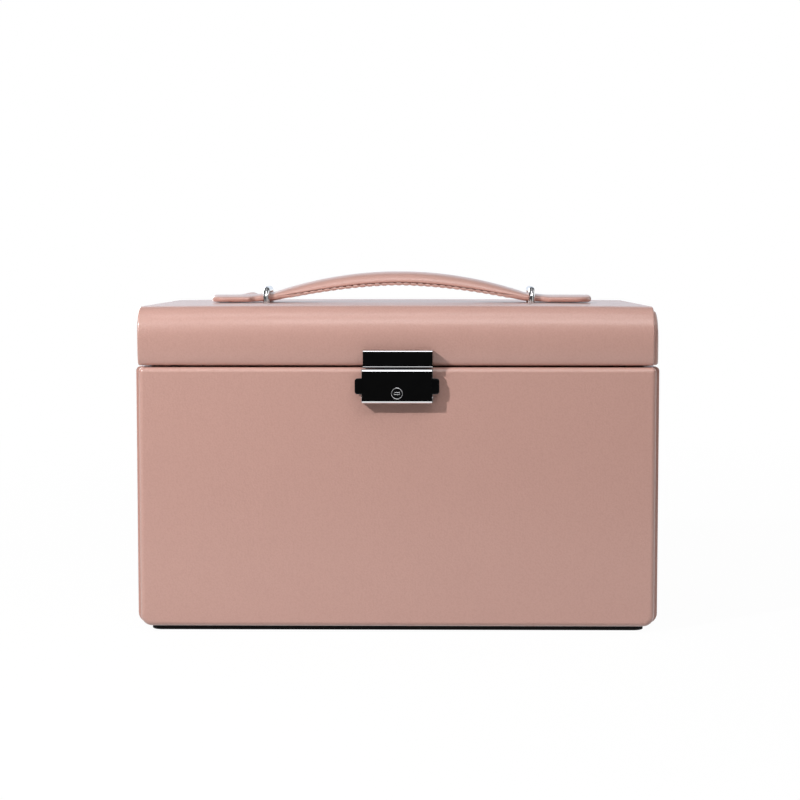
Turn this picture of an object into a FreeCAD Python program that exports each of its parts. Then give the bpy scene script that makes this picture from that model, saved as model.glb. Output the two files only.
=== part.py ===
import FreeCAD, Part
import math
import os

Vector = FreeCAD.Vector
os.makedirs("parts", exist_ok=True)

# The case, in millimetres: X across the front, -Y to the front, +Z up, floor at zero
case_width = 302.0
case_depth = 195.0
body_height = 150.0
lid_height = 34.0
split_gap = 0.6
pad_height = 3.0
pad_inset = 8.0
pad_corner = 6.0

# Boards and what covers them
board = 8.0
cover = 1.0
lining = 0.8
floor_thickness = 6.0
shelf_thickness = 3.0
drawer_wall = 6.0
drawer_base = 3.0
tray_wall = 3.0
divider = 2.4

# Rounded edges, measured on the covering
body_corner = 6.5
rim_round = 2.5
lid_crown = 11.0
lid_edge = 2.6
lid_end_round = 2.0

# Front panel, drawers and tray
panel_thickness = 12.0
panel_gap = 0.3
panel_lift = 0.4
panel_side_inset = 2.8
lid_side_inset = 2.0
side_gap = 6.0
slide_gap = 0.4
fit_gap = 0.3
headroom = 2.0
lower_drawer_height = 56.6
middle_drawer_height = 34.6
drawer_back_gap = 2.5
tray_drop = 4.0
divider_drop = 4.0
cleat_length = 8.0

# Ring rolls
roll_radius = 7.0
roll_pitch = 14.6
roll_height_share = 0.7
roll_gap = 0.3
roll_share_of_side = 0.55

# Levers that push the drawers out as the lid opens
lid_open_angle = 80.0
lid_pin_forward = 30.0
lid_pin_rise = 8.0
lower_pin_rise = 24.0
middle_pin_rise = 10.0
lever_tip_margin = 10.8
lever_half_width = 4.0
plate_thickness = 1.5
plate_gap = 0.45
stud_radius = 2.0
stud_depth = 5.0
running_fit = 0.05
pin_end_gap = 0.2
slot_play = 0.3
bracket_rim = 4.0

# Rear hinges
hinge_width = 40.0
hinge_spread = 90.0
leaf_height = 16.0
leaf_thickness = 1.0
knuckle_radius = 2.4
hinge_pin_radius = 1.2
knuckle_gap = 0.3
screw_radius = 1.3
screw_head_radius = 2.4
screw_head_height = 0.5
screw_length = 7.0

# Mirror in the lid
mirror_width = 208.0
mirror_depth = 128.0
mirror_thickness = 3.0
bezel_lap = 6.0
bezel_depth = 9.0

# Lock
lock_width = 41.0
lock_height = 19.3
lock_depth = 8.0
lock_drop = 0.6
lock_bevel = 0.9
lock_wall = 1.4
lock_plate = 0.8
hasp_width = 40.5
hasp_height = 10.0
hasp_depth = 7.3
hasp_lift = 0.2
tongue_width = 14.0
tongue_thickness = 1.2
tongue_length = 6.0
tongue_front_gap = 0.3
tongue_back_room = 3.3
button_height = 8.3
button_depth = 4.0
button_proud = 3.6
button_travel = 2.0
button_length = 12.7
button_drop = 9.75
button_fit = 0.08
button_shoulder = 0.8
spring_radius = 1.1
spring_wall = 0.35
rib_offset = 4.6
rib_width = 1.0
rib_height = 4.2
barrel_radius = 3.4
barrel_proud = 0.5
barrel_length = 4.6
barrel_drop = 13.6
cam_length = 4.0
cam_width = 2.4
cam_thickness = 0.8
keyhole_width = 0.9
keyhole_length = 3.6
keyhole_depth = 1.0
rivet_radius = 1.5
rivet_spread = 14.0

# Handle and its loops
loop_offset = 81.2
loop_spread = 35.0
loop_wire = 1.9
loop_height = 11.5
loop_bend = 4.5
nut_radius = 4.0
nut_height = 3.0
strap_half_width = 14.5
strap_lift = 0.3
strap_end_thickness = 4.0
strap_neck_rise = 2.9
strap_neck_thickness = 3.6
strap_crest_rise = 12.7
strap_crest_thickness = 7.6
strap_join = 70.5
strap_end = 117.5
paddle_start = 89.5
paddle_half_width = 18.5
strap_soft_gap = 0.3


# Places worked out from the sizes above
half_width = case_width / 2
front = -case_depth / 2
back = case_depth / 2
body_bottom = pad_height
body_top = body_bottom + body_height
lid_bottom = body_top + split_gap
lid_top = lid_bottom + lid_height
panel_back = front + panel_thickness
wall_front = panel_back + panel_gap
wall_outer = half_width - cover
wall_inner = wall_outer - board
back_inner = back - cover - board
floor_top = body_bottom + floor_thickness
drawer_side = wall_inner - side_gap
lower_bottom = floor_top + slide_gap
lower_top = lower_bottom + lower_drawer_height
shelf_low = lower_top + headroom
shelf_top = shelf_low + shelf_thickness
middle_bottom = shelf_top + slide_gap
middle_top = middle_bottom + middle_drawer_height
deck_low = middle_top + headroom
deck_top = deck_low + shelf_thickness
tray_top = body_top - tray_drop
tray_side = drawer_side - fit_gap
tray_front = panel_back + 2 * panel_gap
cavity_top = lid_top - cover - board
lid_front_inner = front + cover + board

hinge_y = back + knuckle_radius
hinge_z = body_top + split_gap / 2
half_swing = math.radians(lid_open_angle) / 2
pivot_z = (deck_top + body_top) / 2
lower_arm = pivot_z - (lower_bottom + lower_pin_rise)
middle_arm = pivot_z - (middle_bottom + middle_pin_rise)
pivot_y = back_inner - lever_tip_margin - lower_arm * math.sin(half_swing)


def block(x, y, z):
    size = (x[1] - x[0], y[1] - y[0], z[1] - z[0])
    return Part.makeBox(*size, Vector(x[0], y[0], z[0]))


def rod(start, end, radius):
    axis = Vector(*end) - Vector(*start)
    return Part.makeCylinder(radius, axis.Length, Vector(*start), axis)


def mirrored(shape):
    return shape.mirror(Vector(0, 0, 0), Vector(1, 0, 0))


def both_sides(shape):
    return [shape, mirrored(shape)]


def edges_along(shape, axis, test):
    found = []
    for edge in shape.Edges:
        box = edge.BoundBox
        lengths = {"x": box.XLength, "y": box.YLength, "z": box.ZLength}
        others = [lengths[name] for name in lengths if name != axis]
        if max(others) < 0.001 and lengths[axis] > 0.001 and test(box.Center):
            found.append(edge)
    return found


def edges_in_plane(shape, axis, value):
    found = []
    for edge in shape.Edges:
        box = edge.BoundBox
        low = {"x": box.XMin, "y": box.YMin, "z": box.ZMin}[axis]
        high = {"x": box.XMax, "y": box.YMax, "z": box.ZMax}[axis]
        if abs(low - value) < 0.001 and abs(high - value) < 0.001:
            found.append(edge)
    return found


def cut_all(shape, tools):
    for tool in tools:
        shape = shape.cut(tool)
    return shape


def save(name, *pieces):
    shape = pieces[0] if len(pieces) == 1 else Part.makeCompound(list(pieces))
    shape.exportStep("parts/" + name + ".step")


def body_block(inset):
    # The three walls and the rounded foot of the case as one block, less a skin of the given depth
    shape = block(
        (-half_width + inset, half_width - inset),
        (wall_front + inset, back - inset),
        (body_bottom + inset, body_top - inset),
    )
    low = body_bottom + inset
    corners = edges_along(shape, "z", lambda at: at.y > 0)
    corners += edges_along(shape, "x", lambda at: at.y > 0 and abs(at.z - low) < 1)
    corners += edges_along(shape, "y", lambda at: abs(at.z - low) < 1)
    shape = shape.makeFillet(body_corner - inset, corners)
    rim = edges_in_plane(shape, "z", body_top - inset)
    rim = [edge for edge in rim if edge.BoundBox.YMax > wall_front + inset + 0.01]
    return shape.makeFillet(rim_round - inset, rim)


def panel_block(inset):
    # The front panel, flush behind, less a skin of the given depth on its other sides
    low = body_bottom + panel_lift + inset
    high = body_top - inset
    wide = half_width - panel_side_inset - inset
    shape = block((-wide, wide), (front + inset, panel_back), (low, high))
    shape = shape.makeFillet(body_corner - inset, edges_along(shape, "y", lambda at: at.z < low + 1))
    shape = shape.makeFillet(rim_round - inset, edges_along(shape, "y", lambda at: at.z > high - 1))
    return shape.makeFillet(rim_round - inset, edges_in_plane(shape, "y", front + inset))


def lid_block(inset):
    # The lid with its crowned front and back edges, less a skin of the given depth
    low = lid_bottom + inset
    high = lid_top - inset
    wide = half_width - lid_side_inset - inset
    shape = block((-wide, wide), (front + inset, back - inset), (low, high))
    shape = shape.makeFillet(lid_crown - inset, edges_along(shape, "x", lambda at: at.z > high - 1))
    shape = shape.makeFillet(lid_edge - inset, edges_along(shape, "x", lambda at: at.z < low + 1))
    ends = edges_in_plane(shape, "x", wide) + edges_in_plane(shape, "x", -wide)
    return shape.makeFillet(lid_end_round - inset, ends)


def lever_plate(points, low_x, thick, holes):
    # A flat bar with round ends through points (y, z), standing in a plane of constant x
    shape = None
    for start, end in zip(points, points[1:]):
        along = Vector(0, end[0] - start[0], end[1] - start[1])
        across = Vector(1, 0, 0).cross(along).normalize() * lever_half_width
        corners = [
            Vector(low_x, *start) + across,
            Vector(low_x, *end) + across,
            Vector(low_x, *end) - across,
            Vector(low_x, *start) - across,
        ]
        bar = Part.Face(Part.makePolygon(corners + corners[:1])).extrude(Vector(thick, 0, 0))
        shape = bar if shape is None else shape.fuse(bar)
    for point in points:
        shape = shape.fuse(rod((low_x, *point), (low_x + thick, *point), lever_half_width))
    for point in holes:
        shape = shape.cut(rod((low_x - 1, *point), (low_x + thick + 1, *point), stud_radius + running_fit))
    return shape.removeSplitter()


def swing_point(arm, turn):
    # Where a lever pin stands, after the levers have turned by that many radians
    angle = half_swing - turn
    return (pivot_y + arm * math.sin(angle), pivot_z - arm * math.cos(angle))


def slot_reach(arm):
    # How far the pin's arc leaves the drawer's even travel, which the slot's width takes up
    ratio = math.sin(half_swing) / half_swing
    turn = math.acos(ratio)
    return arm * (math.sin(turn) - ratio * turn)


# Rear hinge, built first because its screws cut what they pass through
def hinge_leaf(centre, upward, knuckle_spans, other_spans):
    low, high = (hinge_z, hinge_z + leaf_height) if upward else (hinge_z - leaf_height, hinge_z)
    wide = (centre - hinge_width / 2, centre + hinge_width / 2)
    shape = block(wide, (back, back + leaf_thickness), (low, high))
    for span in other_spans:
        start = (span[0] - knuckle_gap, hinge_y, hinge_z)
        end = (span[1] + knuckle_gap, hinge_y, hinge_z)
        shape = shape.cut(rod(start, end, knuckle_radius + knuckle_gap))
        gap_x = (start[0], end[0])
        gap_z = (hinge_z - knuckle_gap, hinge_z + knuckle_gap)
        shape = shape.cut(block(gap_x, (back - 1, back + leaf_thickness + 1), gap_z))
    for span in knuckle_spans:
        shape = shape.fuse(rod((span[0], hinge_y, hinge_z), (span[1], hinge_y, hinge_z), knuckle_radius))
    bore_start = (centre - hinge_width, hinge_y, hinge_z)
    bore_end = (centre + hinge_width, hinge_y, hinge_z)
    return shape.cut(rod(bore_start, bore_end, hinge_pin_radius + running_fit)).removeSplitter()


def hinge_screws(centre, upward):
    found = []
    middle = hinge_z + (leaf_height * 0.6 if upward else -leaf_height * 0.6)
    for step in (-1, 0, 1):
        x = centre + step * hinge_width * 0.33
        outside = back + leaf_thickness
        shank = rod((x, outside - screw_length, middle), (x, outside, middle), screw_radius)
        head = rod((x, outside, middle), (x, outside + screw_head_height, middle), screw_head_radius)
        found.append(shank.fuse(head))
    return found


body_leaves = []
lid_leaves = []
hinge_pins = []
body_screws = []
lid_screws = []
for centre in (-hinge_spread, hinge_spread):
    left_end = centre - hinge_width / 2
    right_end = centre + hinge_width / 2
    third = hinge_width / 3
    outer_spans = [
        (left_end, left_end + third - knuckle_gap),
        (right_end - third + knuckle_gap, right_end),
    ]
    middle_spans = [(left_end + third, right_end - third)]
    body_leaves.append(hinge_leaf(centre, False, outer_spans, middle_spans))
    lid_leaves.append(hinge_leaf(centre, True, middle_spans, outer_spans))
    hinge_pins.append(rod((left_end, hinge_y, hinge_z), (right_end, hinge_y, hinge_z), hinge_pin_radius))
    body_screws += hinge_screws(centre, False)
    lid_screws += hinge_screws(centre, True)
body_leaves = [cut_all(leaf, body_screws) for leaf in body_leaves]
lid_leaves = [cut_all(leaf, lid_screws) for leaf in lid_leaves]
save("body_hinge_leaves", *body_leaves)
save("lid_hinge_leaves", *lid_leaves)
save("hinge_pins", *hinge_pins)
save("body_hinge_screws", *body_screws)
save("lid_hinge_screws", *lid_screws)

# Studs on which the levers and links turn
link_low = wall_inner - plate_gap - plate_thickness
lever_low = link_low - plate_gap - plate_thickness
pivot_at = (pivot_y, pivot_z)
lid_pin_at = (hinge_y - lid_pin_forward, hinge_z + lid_pin_rise)
lever_top_at = (pivot_y - lid_pin_forward, pivot_z + lid_pin_rise)
pivot_stud = rod((lever_low, *pivot_at), (wall_inner + stud_depth, *pivot_at), stud_radius)
pivot_collar = rod((link_low, *pivot_at), (wall_inner, *pivot_at), stud_radius * 1.7)
pivot_stud = pivot_stud.fuse(pivot_collar).removeSplitter()
lid_stud = rod((link_low, *lid_pin_at), (wall_inner + stud_depth, *lid_pin_at), stud_radius)
pivot_studs = both_sides(pivot_stud)
lid_studs = both_sides(lid_stud)
save("lever_pivot_studs", *pivot_studs)
save("link_studs", *lid_studs)

# Case: pad, boards and covering
pad = block(
    (-half_width + pad_inset, half_width - pad_inset),
    (front + pad_inset, back - pad_inset),
    (0, pad_height),
)
save("base_pad", pad.makeFillet(pad_corner, edges_along(pad, "z", lambda at: True)))

body_core = body_block(cover)
inside = block((-wall_inner, wall_inner), (front - 1, back_inner), (-1, body_top + 1))
side_region = block((wall_inner, half_width), (front, back + 1), (0, body_top))
wall = body_core.common(side_region)
right_wall = cut_all(wall, pivot_studs)
left_wall = cut_all(body_core.common(mirrored(side_region)), pivot_studs)
back_region = block((-wall_inner, wall_inner), (back_inner, back), (0, body_top))
back_wall = cut_all(body_core.common(back_region), body_screws)
save("right_wall", right_wall)
save("left_wall", left_wall)
save("back_wall", back_wall)
body_skin = body_block(0).cut(body_core).cut(inside)
save("body_cover", cut_all(body_skin, body_screws))
floor = block((-wall_inner, wall_inner), (wall_front + cover, back_inner), (body_bottom, floor_top))
save("floor_board", floor)

shelf_y = (wall_front + cover, back_inner)
save("middle_shelf", block((-tray_side, tray_side), shelf_y, (shelf_low, shelf_top)))
save("upper_deck", block((-tray_side, tray_side), shelf_y, (deck_low, deck_top)))
cleats = []
for low in (shelf_low, deck_low):
    for y in ((shelf_y[0], shelf_y[0] + cleat_length), (shelf_y[1] - cleat_length, shelf_y[1])):
        cleats += both_sides(block((tray_side, wall_inner), y, (low, low + shelf_thickness)))
save("shelf_cleats", *cleats)

# Top tray with its dividers and ring rolls
tray_z = (deck_top, tray_top)
tray_end_walls = [
    block((-tray_side, tray_side), (tray_front, tray_front + tray_wall), tray_z),
    block((-tray_side, tray_side), (back_inner - tray_wall, back_inner), tray_z),
]
tray_inner_y = (tray_front + tray_wall, back_inner - tray_wall)
tray_inner_x = tray_side - tray_wall
tray_side_walls = both_sides(block((tray_inner_x, tray_side), tray_inner_y, tray_z))
save("tray_walls", *tray_end_walls, *tray_side_walls)
save("tray_lining", block((-tray_inner_x, tray_inner_x), tray_inner_y, (deck_top, deck_top + lining)))
divider_z = (deck_top + lining, tray_top - divider_drop)
roll_end = tray_inner_y[0] + (tray_inner_y[1] - tray_inner_y[0]) * roll_share_of_side
half_divider = divider / 2
tray_dividers = [block((-half_divider, half_divider), tray_inner_y, divider_z)]
tray_dividers.append(block((-tray_inner_x, -half_divider), (roll_end, roll_end + divider), divider_z))
for share in (1 / 3, 2 / 3):
    y = tray_inner_y[0] + (tray_inner_y[1] - tray_inner_y[0]) * share
    divider_y = (y - half_divider, y + half_divider)
    tray_dividers.append(block((half_divider, tray_inner_x), divider_y, divider_z))
save("tray_dividers", *tray_dividers)

roll_room = roll_end - tray_inner_y[0]
roll_count = int(roll_room / roll_pitch)
first_roll = tray_inner_y[0] + (roll_room - roll_count * roll_pitch) / 2 + roll_pitch / 2
roll_x = (-tray_inner_x + roll_gap, -half_divider - roll_gap)
roll_top = deck_top + (tray_top - deck_top) * roll_height_share
rolls = []
for number in range(roll_count):
    y = first_roll + number * roll_pitch
    body = block(roll_x, (y - roll_radius, y + roll_radius), (divider_z[0], roll_top - roll_radius))
    crown = rod((roll_x[0], y, roll_top - roll_radius), (roll_x[1], y, roll_top - roll_radius), roll_radius)
    above = block(roll_x, (y - roll_radius, y + roll_radius), (roll_top - roll_radius, roll_top))
    rolls.append(body.fuse(crown.common(above)).removeSplitter())
save("ring_rolls", *rolls)

# Levers and links
lever_points = [lever_top_at, pivot_at, swing_point(lower_arm, 0)]
lever = lever_plate(lever_points, lever_low, plate_thickness, [pivot_at])
lever = lever.fuse(rod((lever_low, *lever_top_at), (link_low + plate_thickness, *lever_top_at), stud_radius))
for arm in (lower_arm, middle_arm):
    pin_at = swing_point(arm, 0)
    lever = lever.fuse(rod((drawer_side + pin_end_gap, *pin_at), (lever_low, *pin_at), stud_radius))
lever = lever.removeSplitter()
link = lever_plate([lid_pin_at, lever_top_at], link_low, plate_thickness, [lid_pin_at, lever_top_at])
save("right_lever", lever)
save("left_lever", mirrored(lever))
save("right_link", link)
save("left_link", mirrored(link))


def slot_bracket(arm):
    # A plate on a drawer's side with an upright slot for the lever's pin
    start = swing_point(arm, 0)
    lowest = pivot_z - arm
    slot_half = stud_radius + slot_reach(arm) + slot_play
    slot_z = (lowest - stud_radius - slot_play, start[1] + stud_radius + slot_play)
    plate_x = (drawer_side, lever_low - plate_gap)
    plate_y = (start[0] - slot_half - bracket_rim, start[0] + slot_half + bracket_rim)
    plate = block(plate_x, plate_y, (slot_z[0] - bracket_rim, slot_z[1] + bracket_rim))
    slot_y = (start[0] - slot_half, start[0] + slot_half)
    return plate.cut(block((plate_x[0] - 1, plate_x[1] + 1), slot_y, slot_z))


save("lower_slot_brackets", *both_sides(slot_bracket(lower_arm)))
save("middle_slot_brackets", *both_sides(slot_bracket(middle_arm)))

# Lower drawer
drawer_back = back_inner - drawer_back_gap
inner_x = drawer_side - drawer_wall
base_z = (lower_bottom, lower_bottom + drawer_base)
wall_z = (base_z[1], lower_top)
save("lower_drawer_base", block((-drawer_side, drawer_side), (panel_back, drawer_back), base_z))
lower_side = block((inner_x, drawer_side), (panel_back, drawer_back - drawer_wall), wall_z)
save("lower_drawer_sides", *both_sides(lower_side))
lower_back_y = (drawer_back - drawer_wall, drawer_back)
save("lower_drawer_back", block((-drawer_side, drawer_side), lower_back_y, wall_z))
lower_floor_z = (base_z[1], base_z[1] + lining)
save("lower_drawer_lining", block((-inner_x, inner_x), (panel_back, lower_back_y[0]), lower_floor_z))
lower_divider = block(
    (-half_divider, half_divider),
    (panel_back, lower_back_y[0]),
    (lower_floor_z[1], lower_top - divider_drop),
)
save("lower_drawer_divider", lower_divider)

# Middle drawer
middle_front_y = (tray_front, tray_front + drawer_wall)
middle_base_z = (middle_bottom, middle_bottom + drawer_base)
middle_wall_z = (middle_base_z[1], middle_top)
middle_inner_y = (middle_front_y[1], drawer_back - drawer_wall)
save("middle_drawer_base", block((-drawer_side, drawer_side), (tray_front, drawer_back), middle_base_z))
middle_side = block((inner_x, drawer_side), middle_inner_y, middle_wall_z)
save("middle_drawer_sides", *both_sides(middle_side))
middle_ends = [
    block((-drawer_side, drawer_side), middle_front_y, middle_wall_z),
    block((-drawer_side, drawer_side), lower_back_y, middle_wall_z),
]
save("middle_drawer_ends", *middle_ends)
middle_floor_z = (middle_base_z[1], middle_base_z[1] + lining)
save("middle_drawer_lining", block((-inner_x, inner_x), middle_inner_y, middle_floor_z))
middle_dividers = []
middle_divider_z = (middle_floor_z[1], middle_top - divider_drop)
for share in (-1 / 3, 1 / 3):
    x = inner_x * share
    middle_dividers.append(block((x - half_divider, x + half_divider), middle_inner_y, middle_divider_z))
save("middle_drawer_dividers", *middle_dividers)

# Lock on the front panel
lock_top = body_top - lock_drop
lock_low = lock_top - lock_height
lock_front = front - lock_depth
lock_half = lock_width / 2
button_z = lock_top - button_drop
barrel_z = lock_top - barrel_drop
shell_back = front - lock_plate
button_y = (lock_front + lock_wall + shell_back) / 2
tongue_front = lock_front + lock_wall + tongue_front_gap
tongue_y = (tongue_front, tongue_front + tongue_thickness)
lock_case = block((-lock_half, lock_half), (lock_front, shell_back), (lock_low, lock_top))
lock_case = lock_case.makeChamfer(lock_bevel, edges_in_plane(lock_case, "y", lock_front))
hollow_x = (-lock_half + lock_wall, lock_half - lock_wall)
hollow_z = (lock_low + lock_wall, lock_top - lock_wall)
lock_case = lock_case.cut(block(hollow_x, (lock_front + lock_wall, front), hollow_z))
slot_x = (-tongue_width / 2 - button_fit * 5, tongue_width / 2 + button_fit * 5)
slot_y = (tongue_y[0] - tongue_front_gap, tongue_y[1] + tongue_back_room)
lock_case = lock_case.cut(block(slot_x, slot_y, (lock_top - lock_wall * 2, lock_top + 1)))
button_z_span = (button_z - button_height / 2, button_z + button_height / 2)
button_y_span = (button_y - button_depth / 2, button_y + button_depth / 2)
button_hole = block(
    (-half_width, half_width),
    (button_y_span[0] - button_fit, button_y_span[1] + button_fit),
    (button_z_span[0] - button_fit, button_z_span[1] + button_fit),
)
lock_case = lock_case.cut(button_hole)
hole_start = (0, lock_front - 1, barrel_z)
hole_end = (0, lock_front + lock_wall + 1, barrel_z)
barrel_hole = rod(hole_start, hole_end, barrel_radius + running_fit)
save("lock_case", lock_case.cut(barrel_hole))

lock_screws = []
lock_rear = block((-lock_half, lock_half), (shell_back, front), (lock_low, lock_top))
for side in (-1, 1):
    rib_x = sorted((side * rib_offset, side * (rib_offset + rib_width)))
    rib_z = (button_z - rib_height / 2, button_z + rib_height / 2)
    lock_rear = lock_rear.fuse(block(rib_x, (button_y_span[0], shell_back), rib_z))
    at = (side * rivet_spread, (lock_low + hollow_z[0]) / 2 + lock_wall)
    lock_screws.append(rod((at[0], shell_back, at[1]), (at[0], panel_back, at[1]), rivet_radius))
save("lock_back_plate", cut_all(lock_rear.removeSplitter(), lock_screws))
save("lock_screws", *lock_screws)

button_x = (lock_half + button_proud - button_length, lock_half + button_proud)
button = block(button_x, button_y_span, button_z_span)
outer_edges = edges_in_plane(button, "x", button_x[1])
button = button.makeFillet(button_depth * 0.3, outer_edges)
shoulder_x = (hollow_x[1] - lock_wall, hollow_x[1] - button_fit)
shoulder_z = (button_z_span[0] - button_shoulder, button_z_span[1] + button_shoulder)
button = button.fuse(block(shoulder_x, button_y_span, shoulder_z)).removeSplitter()
spring_x = (rib_offset + rib_width, rib_offset + rib_width + button_x[1] - button_x[0] - button_travel)
pocket_end = spring_x[1] + button_travel + pin_end_gap
pocket_at = (button_y, button_z)
pocket_radius = spring_radius + running_fit * 3
button = button.cut(rod((button_x[0] - 1, *pocket_at), (pocket_end, *pocket_at), pocket_radius))
save("right_button", button)
save("left_button", mirrored(button))
spring = rod((spring_x[0], *pocket_at), (spring_x[1], *pocket_at), spring_radius)
spring_bore = spring_radius - spring_wall
spring = spring.cut(rod((spring_x[0] - 1, *pocket_at), (spring_x[1] + 1, *pocket_at), spring_bore))
save("button_springs", *both_sides(spring))

barrel_y = (lock_front - barrel_proud, lock_front - barrel_proud + barrel_length)
barrel = rod((0, barrel_y[0], barrel_z), (0, barrel_y[1], barrel_z), barrel_radius)
keyhole = block(
    (-keyhole_length / 2, keyhole_length / 2),
    (barrel_y[0] - 1, barrel_y[0] + keyhole_depth),
    (barrel_z - keyhole_width / 2, barrel_z + keyhole_width / 2),
)
cam = block(
    (-cam_width / 2, cam_width / 2),
    (barrel_y[1], barrel_y[1] + cam_thickness),
    (barrel_z - cam_length, barrel_z + cam_width / 2),
)
save("key_barrel", barrel.cut(keyhole).fuse(cam).removeSplitter())

# Front panel
panel_core = panel_block(cover)
save("front_panel_board", cut_all(panel_core, lock_screws))
save("front_panel_cover", cut_all(panel_block(0).cut(panel_core), lock_screws))

# Handle loops with their nuts
loops = []
nuts = []
stud_low = cavity_top + fit_gap
for side in (-1, 1):
    x = side * loop_offset
    half = loop_spread / 2
    top = lid_top + loop_height - loop_wire
    bend = loop_bend
    corner = bend * (1 - math.sqrt(0.5))
    path = [
        Part.LineSegment(Vector(x, -half, stud_low), Vector(x, -half, top - bend)),
        Part.Arc(
            Vector(x, -half, top - bend),
            Vector(x, -half + corner, top - corner),
            Vector(x, -half + bend, top),
        ),
        Part.LineSegment(Vector(x, -half + bend, top), Vector(x, half - bend, top)),
        Part.Arc(
            Vector(x, half - bend, top),
            Vector(x, half - corner, top - corner),
            Vector(x, half, top - bend),
        ),
        Part.LineSegment(Vector(x, half, top - bend), Vector(x, half, stud_low)),
    ]
    spine = Part.Wire([piece.toShape() for piece in path])
    ring = Part.Wire([Part.makeCircle(loop_wire, Vector(x, -half, stud_low), Vector(0, 0, 1))])
    loops.append(spine.makePipeShell([ring], True, False))
    for y in (-half, half):
        nut = rod((x, y, stud_low), (x, y, stud_low + nut_height), nut_radius)
        nuts.append(nut.cut(rod((x, y, stud_low - 1), (x, y, stud_low + nut_height + 1), loop_wire)))
save("left_loop", loops[0])
save("right_loop", loops[1])
save("loop_nuts", *nuts)

# Hasp on the lid
hasp_half = hasp_width / 2
hasp_z = (lid_bottom - split_gap + hasp_lift, lid_bottom - split_gap + hasp_lift + hasp_height)
hasp = block((-hasp_half, hasp_half), (front - hasp_depth, front), hasp_z)
hasp = hasp.makeChamfer(lock_bevel, edges_in_plane(hasp, "y", front - hasp_depth))
tongue_z = (hasp_z[0] - tongue_length, hasp_z[0] + 1)
hasp = hasp.fuse(block((-tongue_width / 2, tongue_width / 2), tongue_y, tongue_z)).removeSplitter()
save("hasp", hasp)
hasp_rivets = []
for side in (-1, 1):
    at = (side * rivet_spread, (hasp_z[0] + hasp_z[1]) / 2 + split_gap)
    hasp_rivets.append(rod((at[0], front, at[1]), (at[0], lid_front_inner, at[1]), rivet_radius))
save("hasp_rivets", *hasp_rivets)

# Lid boards and covering
lid_core = lid_block(cover)
cavity_y = (lid_front_inner, back_inner)
cavity = block((-wall_inner, wall_inner), cavity_y, (lid_bottom - 1, cavity_top))
far = case_width
top_region = block((-far, far), (-far, far), (cavity_top, lid_top))
save("lid_top_board", cut_all(lid_core.common(top_region), loops + nuts))
under = (0, cavity_top)
front_rail = lid_core.common(block((-wall_inner, wall_inner), (front - 1, lid_front_inner), under))
back_rail = lid_core.common(block((-wall_inner, wall_inner), (back_inner, back + 1), under))
side_rail = lid_core.common(block((wall_inner, far), (-far, far), under))
save("lid_front_rail", cut_all(front_rail, hasp_rivets))
save("lid_back_rail", cut_all(back_rail, lid_screws))
save("lid_side_rails", cut_all(side_rail, lid_studs), cut_all(mirrored(side_rail), lid_studs))
lid_skin = lid_block(0).cut(lid_core).cut(cavity)
save("lid_cover", cut_all(lid_skin, loops + hasp_rivets + lid_screws))

# Mirror and its padded frame
mirror_z = (cavity_top - mirror_thickness, cavity_top)
mirror_middle = (cavity_y[0] + cavity_y[1]) / 2
mirror_y = (mirror_middle - mirror_depth / 2, mirror_middle + mirror_depth / 2)
mirror = block((-mirror_width / 2, mirror_width / 2), mirror_y, mirror_z)
bezel = block(
    (-wall_inner + fit_gap, wall_inner - fit_gap),
    (cavity_y[0] + fit_gap, cavity_y[1] - fit_gap),
    (cavity_top - bezel_depth, cavity_top),
)
window = block(
    (-mirror_width / 2 + bezel_lap, mirror_width / 2 - bezel_lap),
    (mirror_y[0] + bezel_lap, mirror_y[1] - bezel_lap),
    (0, cavity_top + 1),
)
save("mirror_glass", mirror)
save("mirror_frame", bezel.cut(window).cut(mirror))


# Handle: a padded grip between two flat ends that slide in the loops
def handle_profile():
    # Side view of the whole strap as one face in the plane y = 0
    end_low = lid_top + strap_lift
    end_high = end_low + strap_end_thickness
    neck_low = lid_top + strap_neck_rise
    neck_high = neck_low + strap_neck_thickness
    crest_low = lid_top + strap_crest_rise
    crest_high = crest_low + strap_crest_thickness
    outer_neck = loop_offset + loop_wire * 2
    inner_neck = loop_offset - loop_wire * 4

    def at(x, z):
        return Vector(x, 0, z)

    lines = [
        Part.LineSegment(at(-strap_end, end_low), at(-paddle_start, end_low)),
        Part.LineSegment(at(-paddle_start, end_low), at(-outer_neck, neck_low)),
        Part.LineSegment(at(-outer_neck, neck_low), at(-inner_neck, neck_low)),
        Part.Arc(at(-inner_neck, neck_low), at(0, crest_low), at(inner_neck, neck_low)),
        Part.LineSegment(at(inner_neck, neck_low), at(outer_neck, neck_low)),
        Part.LineSegment(at(outer_neck, neck_low), at(paddle_start, end_low)),
        Part.LineSegment(at(paddle_start, end_low), at(strap_end, end_low)),
        Part.LineSegment(at(strap_end, end_low), at(strap_end, end_high)),
        Part.LineSegment(at(strap_end, end_high), at(paddle_start, end_high)),
        Part.LineSegment(at(paddle_start, end_high), at(outer_neck, neck_high)),
        Part.LineSegment(at(outer_neck, neck_high), at(inner_neck, neck_high)),
        Part.Arc(at(inner_neck, neck_high), at(0, crest_high), at(-inner_neck, neck_high)),
        Part.LineSegment(at(-inner_neck, neck_high), at(-outer_neck, neck_high)),
        Part.LineSegment(at(-outer_neck, neck_high), at(-paddle_start, end_high)),
        Part.LineSegment(at(-paddle_start, end_high), at(-strap_end, end_high)),
        Part.LineSegment(at(-strap_end, end_high), at(-strap_end, end_low)),
    ]
    return Part.Face(Part.Wire([line.toShape() for line in lines]))


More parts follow.
